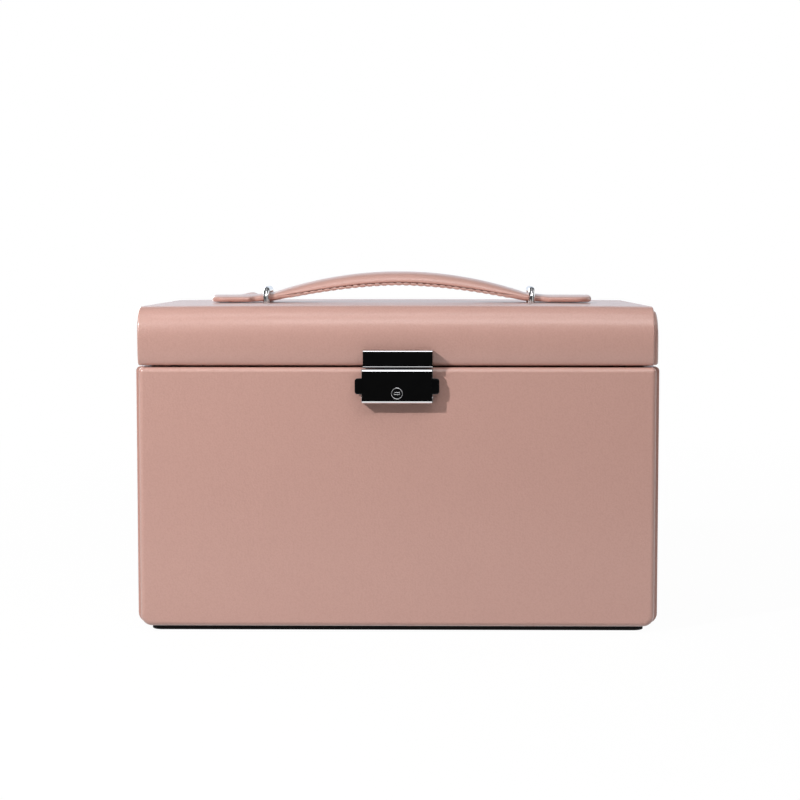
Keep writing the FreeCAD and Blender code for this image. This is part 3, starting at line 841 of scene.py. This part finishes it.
def makeHandle():
    shape = handleShape
    for side, name, end in ((-1, "gripLeft", "handle_end_left"), (1, "gripRight", "handle_end_right")):
        rings = []
        tip = shape["tips"][side]
        for step in range(shape["stations"] + 1):
            x = tip * step / shape["stations"]
            if x > tip - 0.0019:
                break
            rings.append(strapRing(side, x, 1.0))
        for step in range(9):
            turn = math.radians(90 * step / 8)
            x = tip - 0.0019 * (1 - math.sin(turn))
            rings.append(strapRing(side, x, max(0.04, math.cos(turn))))
        mesh = loft(name, rings)
        piece = finished(name, mesh, strapLeather, 50.0)
        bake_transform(piece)
        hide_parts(end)
        if side < 0:
            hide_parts("handle_grip")


makeHandle()
print("handle made")


# ---- stitches along the grip's flange, by geometry nodes
def newTree(name, inputs):
    tree = bpy.data.node_groups.new(name, "GeometryNodeTree")
    tree.interface.new_socket(name="Geometry", in_out="INPUT", socket_type="NodeSocketGeometry")
    for inputName, value in inputs.items():
        socket = tree.interface.new_socket(name=inputName, in_out="INPUT", socket_type="NodeSocketFloat")
        socket.default_value = value
    tree.interface.new_socket(name="Geometry", in_out="OUTPUT", socket_type="NodeSocketGeometry")
    thread = Thread(tree)
    entry = tree.nodes.new("NodeGroupInput")
    return tree, thread, {socket.name: Thread(tree, socket) for socket in entry.outputs if socket.name}


def closeTree(thread, geometry, finish):
    real = thread.node("GeometryNodeRealizeInstances", {}, {"Geometry": geometry})
    smooth = thread.node("GeometryNodeSetShadeSmooth", {}, {"Geometry": real})
    dressed = thread.node("GeometryNodeSetMaterial", {}, {"Geometry": smooth, "Material": finish})
    thread.node("NodeGroupOutput", {}, {"Geometry": dressed})


def grown(name, tree, path, values):
    # the mesh that a tree makes of a path, with its inputs set by identifier
    piece = placed(name, path)
    modifier = piece.modifiers.new("grow", "NODES")
    modifier.node_group = tree
    for item in tree.interface.items_tree:
        if item.in_out == "INPUT" and item.name in values:
            modifier[item.identifier] = values[item.name]
    settle(piece)
    return piece


stitchShape = {
    "spacing": 0.0043,
    "length": 0.0032,
    "radius": 0.00040,
    "fromEdge": 0.0006,
    "reach": 0.066,
}


def makeStitchTree():
    tree, thread, entry = newTree("stitchRow", {"Spacing": 0.004, "Length": 0.003, "Radius": 0.0004})
    curve = thread.node("GeometryNodeMeshToCurve", {}, {"Mesh": entry["Geometry"]})
    spots = thread.node(
        "GeometryNodeCurveToPoints", {"mode": "LENGTH"}, {"Curve": curve, "Length": entry["Spacing"]}, "Points"
    )
    turned = Thread(tree, spots.socket.node.outputs["Rotation"])
    ball = thread.node("GeometryNodeMeshUVSphere", {}, {"Segments": 8, "Rings": 6, "Radius": 1.0}, "Mesh")
    size = thread.node(
        "ShaderNodeCombineXYZ", {}, {"X": entry["Radius"], "Y": entry["Radius"], "Z": entry["Length"] * 0.5}
    )
    stitch = thread.node("GeometryNodeTransform", {}, {"Geometry": ball, "Scale": size})
    sewn = thread.node(
        "GeometryNodeInstanceOnPoints", {}, {"Points": spots, "Instance": stitch, "Rotation": turned}
    )
    closeTree(thread, sewn, stitchThread)
    return tree


def stitchPath(name, side):
    shape = stitchShape
    points = []
    edges = []
    for edge in (-1, 1):
        for above in (True, False):
            first = len(points)
            for step in range(61):
                x = shape["reach"] * step / 60
                low, top = strapHeights(x)
                z = low + handleShape["flange"] if above else low
                points.append((side * x, edge * (strapHalf(x, handleShape["tips"][side]) - shape["fromEdge"]), z))
            edges += [(spot, spot + 1) for spot in range(first, first + 60)]
    mesh = bpy.data.meshes.new(name)
    mesh.from_pydata(points, edges, [])
    return mesh


def makeStitches():
    tree = makeStitchTree()
    values = {
        "Spacing": stitchShape["spacing"],
        "Length": stitchShape["length"],
        "Radius": stitchShape["radius"],
    }
    for side, name, end in ((-1, "stitchesLeft", "handle_end_left"), (1, "stitchesRight", "handle_end_right")):
        piece = grown(name, tree, stitchPath(name, side), values)
        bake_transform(piece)


makeStitches()
print("stitches made")


# ---- chrome loops
loopShape = {"wire": 0.0019, "half": 0.0175, "bend": 0.0058, "drop": 0.0009, "sides": 28, "bendSteps": 14}


def makeLoops():
    shape = loopShape
    for side, name, node in ((-1, "loopLeft", "left_loop"), (1, "loopRight", "right_loop")):
        low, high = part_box(node)
        middle = (low.x + high.x) / 2
        top = high.z - shape["drop"] - shape["wire"]
        path = [(-shape["half"], low.z, 90.0)]
        for step in range(shape["bendSteps"] + 1):
            turn = 90 * step / shape["bendSteps"]
            path.append((
                -shape["half"] + shape["bend"] * (1 - math.cos(math.radians(turn))),
                top - shape["bend"] * (1 - math.sin(math.radians(turn))),
                90 - turn,
            ))
        path += [(-y, z, -slope) for y, z, slope in reversed(path)]
        rings = []
        for y, z, slope in path:
            across = (-math.sin(math.radians(slope)), math.cos(math.radians(slope)))
            ring = []
            for step in range(shape["sides"]):
                turn = 2 * math.pi * step / shape["sides"]
                out = shape["wire"] * math.cos(turn)
                ring.append((
                    middle + shape["wire"] * math.sin(turn),
                    y + out * across[0],
                    z + out * across[1],
                ))
            rings.append(ring)
        mesh = loft(name, rings)
        rides(finished(name, mesh, chrome, 60.0), "lid", "chrome", node)


makeLoops()
print("loops made")


# ---- lock: chrome faces painted near-black for a dark reflection, between bright top and bottom edges
lockShape = {
    "faceInset": 0.0001,
    "sideRound": 0.0004,
    "bodyTopTrim": 0.00110,
    "bodyLowTrim": 0.0012,
    "haspTopTrim": 0.00072,
    "haspLowTrim": 0.0009,
    "trimDepth": 0.0011,
    "buttonRound": 0.0017,
    "buttonBevel": 0.0003,
    "narrow": 0.00045,
    "haspNarrow": (0.0008, 0.0),
    "earWide": 0.0006,
    "earTall": 0.0016,
    "rimWire": 0.00020,
    "slotLong": 0.0034,
    "slotTall": 0.0012,
}


def faceBlock(name, low, high, topTrim, lowTrim, depth, radius):
    # a plate whose front edge is cut back above and below, where the trims sit
    section = [
        (high.y, low.z),
        (low.y + depth, low.z),
        (low.y, low.z + lowTrim),
        (low.y, high.z - topTrim),
        (low.y + depth, high.z),
        (high.y, high.z),
    ]
    rings = []
    for x, inset in ((low.x, radius), (low.x + radius * 0.3, radius * 0.3), (low.x + radius, 0.0),
                     (high.x - radius, 0.0), (high.x - radius * 0.3, radius * 0.3), (high.x, radius)):
        rings.append([(x, y + (inset if y < high.y else 0.0), z) for y, z in section])
    return loft(name, rings)


def trimBar(name, low, high, tall, depth, upward, grow=0.00006):
    # a polished bevel along the top or the bottom of a face, slightly crowned
    z = high.z if upward else low.z
    sign = -1 if upward else 1
    section = []
    for step in range(6):
        share = step / 5
        bulge = grow + 0.00012 * math.sin(math.pi * share)
        y = low.y + depth * (1 - share) - bulge * 0.7
        section.append((y, z + sign * tall * share - sign * bulge * 0.7))
    section.append((low.y + depth * 0.9 + 0.0003, z + sign * tall))
    section.append((low.y + depth + 0.0003, z + sign * 0.0002))
    rings = []
    for x, shrink in ((low.x + 0.00005, 0.8), (low.x + 0.0002, 1.0), (high.x - 0.0002, 1.0), (high.x - 0.00005, 0.8)):
        ring = []
        for y, height in section:
            middleY = low.y + depth * 0.6
            middleZ = z + sign * tall * 0.5
            ring.append((x, between(middleY, y, shrink), between(middleZ, height, shrink)))
        rings.append(ring)
    return loft(name, rings)


def makeLock():
    shape = lockShape
    low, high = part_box("lock_case")
    low.x += shape["narrow"]
    high.x -= shape["narrow"]
    trim = (shape["bodyTopTrim"], shape["bodyLowTrim"], shape["trimDepth"])
    body = faceBlock("lockBody", low, high, *trim, shape["sideRound"])
    barrelLow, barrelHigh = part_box("key_barrel")
    buttonLow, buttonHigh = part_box("right_button")
    tongueLow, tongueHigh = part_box("hasp")
    middleZ = 0.5 * (barrelLow.z + barrelHigh.z)
    radius = (barrelHigh.x - barrelLow.x) / 2
    discZ = barrelHigh.z - radius
    hollow = plainBlock(
        "hollow",
        (low.x + 0.0014, low.y + 0.0014, low.z + 0.0014),
        (high.x - 0.0014, high.y + 0.001, high.z - 0.0014),
    )
    mouth = plainBlock(
        "mouth",
        (-0.0074, low.y + 0.0014, high.z - 0.003),
        (0.0074, low.y + 0.0062, high.z + 0.001),
    )
    button = plainBlock(
        "buttonHole",
        (-0.03, buttonLow.y - 0.0001, buttonLow.z - 0.0001),
        (0.03, buttonHigh.y + 0.0001, buttonHigh.z + 0.0001),
    )
    seat = discMesh("seat", (0, low.y - 0.001, discZ), radius + 0.00005, 0.004, 48)
    body = carved("lockBody", body, [hollow, mouth, button, seat])
    rides(finished("lockBody", body, darkReflectionChrome, 25.0), "lower_drawer", "black_chrome", "lock_case")
    trims = [
        trimBar("trim", low, high, shape["bodyTopTrim"], shape["trimDepth"], True),
        trimBar("trim", low, high, shape["bodyLowTrim"], shape["trimDepth"], False),
    ]
    ears = []
    for side in (-1, 1):
        x = sorted((side * (high.x - 0.0006), side * (high.x + shape["earWide"])))
        z = low.z + 0.0026
        ears.append(block("ear", (x[0], -0.1012, z), (x[1], -0.0986, z + shape["earTall"]), 0.0005))
    rides(finished("lockTrim", joined("lockTrim", trims + ears), chrome, 50.0), "lower_drawer", "chrome")

    # hasp on the lid, with its tongue
    low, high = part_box("hasp")
    low.x += shape["haspNarrow"][0]
    high.x -= shape["haspNarrow"][1]
    plateLow = Vector((low.x, low.y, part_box("lid_cover")[0].z - 0.0004))
    trim = (shape["haspTopTrim"], shape["haspLowTrim"], shape["trimDepth"] * 0.8)
    plate = faceBlock("hasp", plateLow, high, *trim, shape["sideRound"])
    tongue = block("tongue", (-0.007, low.y + 0.0010, low.z), (0.007, low.y + 0.0022, plateLow.z + 0.002), 0.0004)
    rides(finished("haspPlate", joined("haspPlate", [plate, tongue]), darkReflectionChrome, 25.0), "lid", "black_chrome",
          "hasp")
    trims = [
        trimBar("trim", plateLow, high, shape["haspTopTrim"], trim[2], True),
        trimBar("trim", plateLow, high, shape["haspLowTrim"], trim[2], False),
    ]
    rides(finished("haspTrim", joined("haspTrim", trims), chrome, 50.0), "lid", "chrome")


def discMesh(name, front, radius, depth, sides, bevel=0.0):
    # a disc facing the front, its front rim rounded by bevel
    rings = []
    stations = [(front[1] + depth, radius)]
    for step in range(5 if bevel else 1):
        turn = math.radians(90 * step / 4)
        stations.append((front[1] + bevel * (1 - math.sin(turn)), radius - bevel * (1 - math.cos(turn))))
    for y, size in stations:
        ring = []
        for step in range(sides):
            turn = 2 * math.pi * step / sides
            ring.append((front[0] + size * math.cos(turn), y, front[2] + size * math.sin(turn)))
        rings.append(ring)
    return loft(name, rings)


def ringWire(name, points, wire, sides=10):
    # a closed wire through points in the plane of the lock's face
    rings = []
    count = len(points)
    for number, point in enumerate(points):
        before = Vector(points[number - 1])
        after = Vector(points[(number + 1) % count])
        along = (after - before).normalized()
        across = along.cross(Vector((0, 1, 0)))
        ring = []
        for step in range(sides):
            turn = 2 * math.pi * step / sides
            spot = Vector(point) + across * wire * math.cos(turn) + Vector((0, wire * math.sin(turn), 0))
            ring.append(tuple(spot))
        rings.append(ring)
    return loft(name, rings, wrap=True)


def makeBarrel():
    shape = lockShape
    low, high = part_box("key_barrel")
    radius = (high.x - low.x) / 2
    discZ = high.z - radius
    disc = discMesh("keyDisc", (0, low.y + 0.0002, discZ), radius, high.y - low.y - 0.001, 56, 0.0003)
    slot = block(
        "slot",
        (-shape["slotLong"] / 2, low.y - 0.001, discZ - shape["slotTall"] / 2),
        (shape["slotLong"] / 2, low.y + 0.0016, discZ + shape["slotTall"] / 2),
        0.0003,
    )
    disc = carved("keyDisc", disc, [slot])
    rides(finished("keyDisc", disc, darkReflectionChrome, 30.0), "key_barrel", "chrome", "key_barrel")
    rim = []
    for step in range(64):
        turn = 2 * math.pi * step / 64
        rim.append(((radius - 0.0003) * math.cos(turn), low.y + 0.0002, discZ + (radius - 0.0003) * math.sin(turn)))
    lips = roundedRing(
        (-shape["slotLong"] / 2, discZ - shape["slotTall"] / 2),
        (shape["slotLong"] / 2, discZ + shape["slotTall"] / 2),
        (shape["slotTall"] * 0.45,) * 4,
        5,
    )
    wires = [
        ringWire("rim", rim, shape["rimWire"]),
        ringWire("lips", [(x, low.y + 0.00025, z) for x, z in lips], shape["rimWire"] * 0.8),
    ]
    rides(finished("keyRim", joined("keyRim", wires), chrome, 60.0), "key_barrel", "chrome")


def makeButtons():
    for node, name, body in (("left_button", "buttonLeft", "left_button"),
                             ("right_button", "buttonRight", "right_button")):
        low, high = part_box(node)
        trimmed = Vector((0, 0, 0.0004))
        button = block(name, low + trimmed, high - trimmed, lockShape["buttonRound"], 6, lockShape["buttonBevel"])
        rides(finished(name, button, darkReflectionChrome, 60.0), body, "black_chrome", node)


makeLock()
makeBarrel()
makeButtons()
print("lock made")


# ---- padded velvet inside: ring rolls and the mirror's frame
rollShape = {"count": 6, "endRound": 0.0045, "swell": 0.0004, "steps": 40}


def makeRolls():
    shape = rollShape
    low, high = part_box("ring_rolls")
    pitch = (high.y - low.y) / (shape["count"] - 0.04)
    half = 0.0070
    rolls = []
    for number in range(shape["count"]):
        y = low.y + half + (high.y - low.y - 2 * half) * number / (shape["count"] - 1)
        rings = []
        for step in range(shape["steps"] + 1):
            share = step / shape["steps"]
            x = between(low.x, high.x, 0.5 - 0.5 * math.cos(math.pi * share))
            toEnd = min(x - low.x, high.x - x)
            pull = max(0.0, 1 - toEnd / shape["endRound"])
            shrink = 1 - math.sqrt(max(0.0, 1 - pull * pull))
            wave = 0.00012 * math.sin(x * 210 + number * 1.9) + 0.00010 * math.sin(x * 97 + number * 4.1)
            ring = []
            count = 28
            flank = half - 0.0002 - 0.0016 * shrink + wave
            top = high.z - 0.0001 - 0.0030 * shrink + wave
            for spot in range(count + 1):
                turn = math.pi * spot / count
                ring.append((
                    x + (0.0),
                    y + flank * math.cos(turn),
                    top - flank + flank * math.sin(turn),
                ))
            for spot in range(1, 6):
                ring.append((x, y - flank + 0.0006 * math.sin(math.pi * spot / 6), between(top - flank, low.z, spot / 6)))
            ring.append((x, y - flank + 0.0004, low.z))
            ring.append((x, y + flank - 0.0004, low.z))
            for spot in range(5, 0, -1):
                ring.append((x, y + flank - 0.0006 * math.sin(math.pi * spot / 6), between(top - flank, low.z, spot / 6)))
            rings.append(ring)
        rolls.append(loft("roll", rings))
    piece = finished("ringRolls", joined("ringRolls", rolls), velvet, 60.0)
    rides(piece, "case", "velvet", "ring_rolls")


frameShape = {"outerDrop": 0.0050, "puff": 0.0036, "rows": 14, "sideSteps": 26, "seam": 0.0008}


def makeMirrorFrame():
    shape = frameShape
    low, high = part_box("mirror_frame")
    glassLow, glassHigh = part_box("mirror_glass")
    lap = 0.006
    inner = ((glassLow.x + lap, glassLow.y + lap), (glassHigh.x - lap, glassHigh.y - lap))
    outer = ((low.x, low.y), (high.x, high.y))
    rings = []

    def plan(share, z, radius):
        ringLow = [between(outer[0][i], inner[0][i], share) for i in (0, 1)]
        ringHigh = [between(outer[1][i], inner[1][i], share) for i in (0, 1)]
        ring = roundedRing(ringLow, ringHigh, (radius,) * 4, 6, shape["sideSteps"])
        points = []
        for x, y in ring:
            cornerX = ringHigh[0] - abs(x)
            cornerY = ringHigh[1] - abs(y)
            mitre = math.exp(-((cornerX - cornerY) / 0.0022) ** 2) * math.exp(-((cornerX + cornerY) / 0.009) ** 2)
            points.append((x, y, z + shape["seam"] * mitre * math.sin(math.pi * share)))
        return points

    rings.append(plan(0.0, high.z, 0.0006))
    for row in range(shape["rows"] + 1):
        share = row / shape["rows"]
        puff = math.sin(math.pi * share) ** 0.55 if 0 < share < 1 else 0.0
        edge = between(high.z - shape["outerDrop"], glassLow.z - 0.0004, share)
        z = edge - (edge - low.z - 0.0001) * puff
        rings.append(plan(share, z, between(0.0006, 0.0030, share)))
    rings.append(plan(1.0, glassLow.z + 0.0002, 0.0030))
    rings.append(plan(0.98, glassLow.z + 0.0004, 0.0030))
    piece = finished("mirrorFrame", loft("mirrorFrame", rings, wrap=True), velvet, 70.0)
    rides(piece, "lid", "velvet", "mirror_frame")


makeRolls()
makeMirrorFrame()
print("padded pieces made")


# ---- CAD nodes: some are copied with softened edges, the rest only get a finish
def softened(node, name, body, slotName, finish, radius):
    mesh = nodes[node].data.copy()
    work = bmesh.new()
    work.from_mesh(mesh)
    bmesh.ops.remove_doubles(work, verts=work.verts, dist=0.000002)
    bmesh.ops.dissolve_limit(
        work, angle_limit=math.radians(1), verts=work.verts, edges=work.edges, use_dissolve_boundaries=False
    )
    work.to_mesh(mesh)
    work.free()
    bevel = {"width": radius, "segments": 3, "limit_method": "ANGLE", "angle_limit": math.radians(40)}
    mesh = modified(name, mesh, [("BEVEL", bevel)])
    rides(finished(name, mesh, finish), body, slotName, node)


softNodes = {
    ("velvet", "case"): {
        "middle_shelf": 0.0006,
        "upper_deck": 0.0006,
        "tray_walls": 0.0008,
        "tray_dividers": 0.0008,
        "tray_lining": 0.0002,
    },
    ("velvet", "lower_drawer"): {
        "lower_drawer_base": 0.0006,
        "lower_drawer_sides": 0.0010,
        "lower_drawer_back": 0.0010,
        "lower_drawer_lining": 0.0002,
        "lower_drawer_divider": 0.0008,
    },
    ("velvet", "middle_drawer"): {
        "middle_drawer_base": 0.0006,
        "middle_drawer_sides": 0.0010,
        "middle_drawer_ends": 0.0010,
        "middle_drawer_lining": 0.0002,
        "middle_drawer_dividers": 0.0008,
    },
    ("felt", "case"): {"base_pad": 0.0005},
    ("steel", "lower_drawer"): {"lower_slot_brackets": 0.0002},
    ("steel", "middle_drawer"): {"middle_slot_brackets": 0.0002},
    ("steel", "left_link"): {"left_link": 0.0003},
    ("steel", "right_link"): {"right_link": 0.0003},
    ("steel", "left_lever"): {"left_lever": 0.0003},
    ("steel", "right_lever"): {"right_lever": 0.0003},
    ("chrome", "case"): {"body_hinge_leaves": 0.00015},
    ("chrome", "lid"): {"lid_hinge_leaves": 0.00015},
}
slotFinishes = {
    "velvet": velvet,
    "felt": felt,
    "steel": brushedSteel,
    "chrome": chrome,
    "board": linerBoard,
    "mirror": mirrorFinish,
    # the lock's chrome, painted near-black for a dark reflection
    "black_chrome": darkReflectionChrome,
    "leather": caseLeather,
    "strap": strapLeather,
}


def camelName(node):
    words = node.split("_")
    return words[0] + "".join(word.capitalize() for word in words[1:])


for (slotName, body), group in softNodes.items():
    for node, radius in group.items():
        softened(node, camelName(node), body, slotName, slotFinishes[slotName], radius)

plainNodes = {
    "board": [
        "floor_board", "left_wall", "right_wall", "back_wall", "front_panel_board", "lid_top_board",
        "lid_front_rail", "lid_back_rail", "lid_side_rails", "shelf_cleats",
    ],
    "steel": [
        "lever_pivot_studs", "link_studs", "button_springs", "lock_back_plate", "loop_nuts", "lock_screws",
        "hasp_rivets",
    ],
    "chrome": ["hinge_pins", "left_loop", "right_loop", "key_barrel"],
    "mirror": ["mirror_glass"],
    "black_chrome": ["lock_case", "hasp", "left_button", "right_button"],
    "leather": ["body_cover", "lid_cover", "front_panel_cover"],
    "strap": ["handle_grip", "handle_end_left", "handle_end_right"],
    "velvet": ["ring_rolls", "mirror_frame"],
}
for slotName, group in plainNodes.items():
    for node in group:
        nodes[node].data.materials.clear()
        nodes[node].data.materials.append(slotFinishes[slotName])
print("nodes dressed")


# ---- hinge screws, by geometry nodes
screwShape = {"radius": 0.0024, "height": 0.0008, "slotWide": 0.0006, "slotLong": 0.0030, "slotDeep": 0.0005}


def makeScrewTree():
    shape = screwShape
    tree, thread, entry = newTree("hingeScrews", {"Radius": 0.0024, "Height": 0.0008})
    ball = thread.node("GeometryNodeMeshUVSphere", {}, {"Segments": 28, "Rings": 14, "Radius": 1.0}, "Mesh")
    size = thread.node(
        "ShaderNodeCombineXYZ", {}, {"X": entry["Radius"], "Y": entry["Height"], "Z": entry["Radius"]}
    )
    dome = thread.node("GeometryNodeTransform", {}, {"Geometry": ball, "Scale": size})
    slots = []
    for size in ((shape["slotWide"], 0.002, shape["slotLong"]), (shape["slotLong"], 0.002, shape["slotWide"])):
        bar = thread.node("GeometryNodeMeshCube", {}, {"Size": size}, "Mesh")
        offset = (0, screwShape["height"] - shape["slotDeep"] + 0.001, 0)
        slots.append(thread.node("GeometryNodeTransform", {}, {"Geometry": bar, "Translation": offset}))
    head = dome
    for bar in slots:
        head = thread.node(
            "GeometryNodeMeshBoolean", {"operation": "DIFFERENCE"}, {"Mesh 1": head, "Mesh 2": bar}, "Mesh"
        )
    fixed = thread.node("GeometryNodeInstanceOnPoints", {}, {"Points": entry["Geometry"], "Instance": head})
    closeTree(thread, fixed, chrome)
    return tree


def makeScrews():
    tree = makeScrewTree()
    values = {"Radius": screwShape["radius"], "Height": screwShape["height"]}
    for node, leaf, body in (
        ("body_hinge_screws", "body_hinge_leaves", "case"),
        ("lid_hinge_screws", "lid_hinge_leaves", "lid"),
    ):
        low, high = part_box(node)
        leafHigh = high.y - 0.0005
        z = (low.z + high.z) / 2
        points = []
        for centre in (-0.090, 0.090):
            points += [(centre + step * 0.0132, leafHigh, z) for step in (-1, 0, 1)]
        mesh = bpy.data.meshes.new(node)
        mesh.from_pydata(points, [], [])
        piece = grown(camelName(node), tree, mesh, values)
        piece.data.set_sharp_from_angle(angle=math.radians(35))
        rides(piece, body, "chrome", node)


makeScrews()
print("screws made")


# ---- floor, world and lamps
lightSet = {
    "keyAngle": 43.0,
    "keyRise": 30.0,
    "keyFar": 1.5,
    "keySize": 0.04,
    "keyPower": 15.7,
    "boxPower": 3.6,
    "topPower": 1.6,
    "sidePower": 3.5,
    "backPower": 10.0,
    "ambient": 0.165,
    "floorTone": 0.45,
    "floorGlow": 0.93,
}


def lamp(name, place, target, size, power):
    data = bpy.data.lights.new(name, "AREA")
    data.shape = "RECTANGLE"
    data.size, data.size_y = size
    data.energy = power
    lampObject = bpy.data.objects.new(name, data)
    lampObject.location = place
    lampObject.rotation_mode = "QUATERNION"
    lampObject.rotation_quaternion = (Vector(target) - Vector(place)).to_track_quat("-Z", "Y")
    scene.collection.objects.link(lampObject)


angle = math.radians(lightSet["keyAngle"])
rise = math.radians(lightSet["keyRise"])
keyPlace = (
    -lightSet["keyFar"] * math.sin(angle) * math.cos(rise),
    -lightSet["keyFar"] * math.cos(angle) * math.cos(rise),
    0.1 + lightSet["keyFar"] * math.sin(rise),
)
lamp("keyLamp", keyPlace, (0, -0.05, 0.12), (lightSet["keySize"],) * 2, lightSet["keyPower"])
lamp("boxLamp", (0.30, -0.86, 1.00), (0, 0, 0.1), (1.1, 0.35), lightSet["boxPower"])
lamp("topLamp", (0.0, -0.50, 1.25), (0, 0, 0.15), (0.7, 0.35), lightSet["topPower"])
lamp("sideLamp", (1.30, 0.70, 0.70), (0, 0, 0.1), (0.8, 0.8), lightSet["sidePower"])
lamp("backLamp", (-0.90, 1.40, 0.60), (0, 0, 0.1), (0.8, 0.8), lightSet["backPower"])

floorMesh = bpy.data.meshes.new("floor")
floorMesh.from_pydata([(-6, -6, 0), (6, -6, 0), (6, 6, 0), (-6, 6, 0)], [], [(0, 1, 2, 3)])
floor = placed("floor", floorMesh)
floorFinish, thread = startFinish("floorFinish")


def rayKinds(thread):
    seen = thread.node("ShaderNodeLightPath", {}, {}, "Is Camera Ray")
    outputs = seen.socket.node.outputs
    return seen, Thread(seen.tree, outputs["Is Glossy Ray"]), Thread(seen.tree, outputs["Is Transmission Ray"])


def axesOf(thread, place):
    first = thread.node("ShaderNodeSeparateXYZ", {}, {"Vector": place}, "X")
    outputs = first.socket.node.outputs
    return first, Thread(first.tree, outputs["Y"]), Thread(first.tree, outputs["Z"])


# the floor glows white for the camera and keeps the shadow near the case; to reflections it is white near the case
# and a painted dark patch far out in front
seen, glossy, through = rayKinds(thread)
place = thread.node("ShaderNodeTexCoord", {}, {}, "Object")
floorX, floorY, floorZ = axesOf(thread, place)
far = fade(thread.node("ShaderNodeVectorMath", {"operation": "LENGTH"}, {0: place}, "Value"), 0.35, 1.2)
near = fade(floorY, -0.75, -0.40)
tone = lightSet["floorTone"]
glow = lightSet["floorGlow"]
matt = thread.node("ShaderNodeBsdfDiffuse", {}, {"Color": (tone, tone, tone, 1)})
lit = thread.node("ShaderNodeEmission", {}, {"Color": (1, 1, 1, 1), "Strength": (1 - (1 - glow) * tone) / glow})
white = thread.node("ShaderNodeEmission", {}, {"Color": (1, 1, 1, 1), "Strength": 1.0})
dark = thread.node("ShaderNodeEmission", {}, {"Color": (0.045, 0.045, 0.045, 1), "Strength": 1.0})
shadowed = thread.node("ShaderNodeMixShader", {}, {0: glow, 1: matt, 2: lit})
plain = thread.node("ShaderNodeMixShader", {}, {0: far, 1: shadowed, 2: white})
mirrored = thread.node("ShaderNodeMixShader", {}, {0: near, 1: dark, 2: shadowed})
direct = thread.maths("MAXIMUM", seen, through)
shown = thread.node("ShaderNodeMixShader", {}, {0: direct, 1: matt, 2: plain})
shown = thread.node("ShaderNodeMixShader", {}, {0: glossy, 1: shown, 2: mirrored})
thread.node("ShaderNodeOutputMaterial", {}, {"Surface": shown})
floorMesh.materials.append(floorFinish)

world = bpy.data.worlds.new("studio")
scene.world = world
world.use_nodes = True
world.node_tree.nodes.clear()
thread = Thread(world.node_tree)
seen, glossy, through = rayKinds(thread)
eastward, northward, upward = axesOf(thread, thread.node("ShaderNodeTexCoord", {}, {}, "Generated"))
# gloss sees a dark room with a bright wall behind and a pale card at the front right
behind = fade(northward, 0.62, 0.86) * (1 - fade(thread.maths("ABSOLUTE", eastward, 0.0), 0.30, 0.42))
card = fade(eastward, 0.36, 0.46) * (1 - fade(eastward, 0.66, 0.78))
card = card * fade(0 - northward, 0.10, 0.20) * (1 - fade(upward, 0.45, 0.60))
room = mixColours(fade(upward, 0.78, 0.96), (0.065, 0.065, 0.067, 1), (0.40, 0.41, 0.42, 1))
room = mixColours(behind, room, (0.80, 0.87, 0.96, 1))
strip = fade(0 - northward, 0.30, 0.40) * fade(upward, 0.52, 0.56) * (1 - fade(upward, 0.70, 0.74))
room = mixColours(thread.maths("MAXIMUM", card, strip), room, (1.0, 1.0, 1.0, 1))
ambient = thread.node("ShaderNodeBackground", {}, {"Color": (1, 1, 1, 1), "Strength": lightSet["ambient"]})
mirrored = thread.node("ShaderNodeBackground", {}, {"Color": room, "Strength": 1.0})
white = thread.node("ShaderNodeBackground", {}, {"Color": (1, 1, 1, 1), "Strength": 1.0})
lit = thread.node("ShaderNodeMixShader", {}, {0: glossy, 1: ambient, 2: mirrored})
shown = thread.node("ShaderNodeMixShader", {}, {0: thread.maths("MAXIMUM", seen, through), 1: lit, 2: white})
thread.node("ShaderNodeOutputWorld", {}, {"Surface": shown})

scene.view_settings.view_transform = "Standard"
print("stage made")
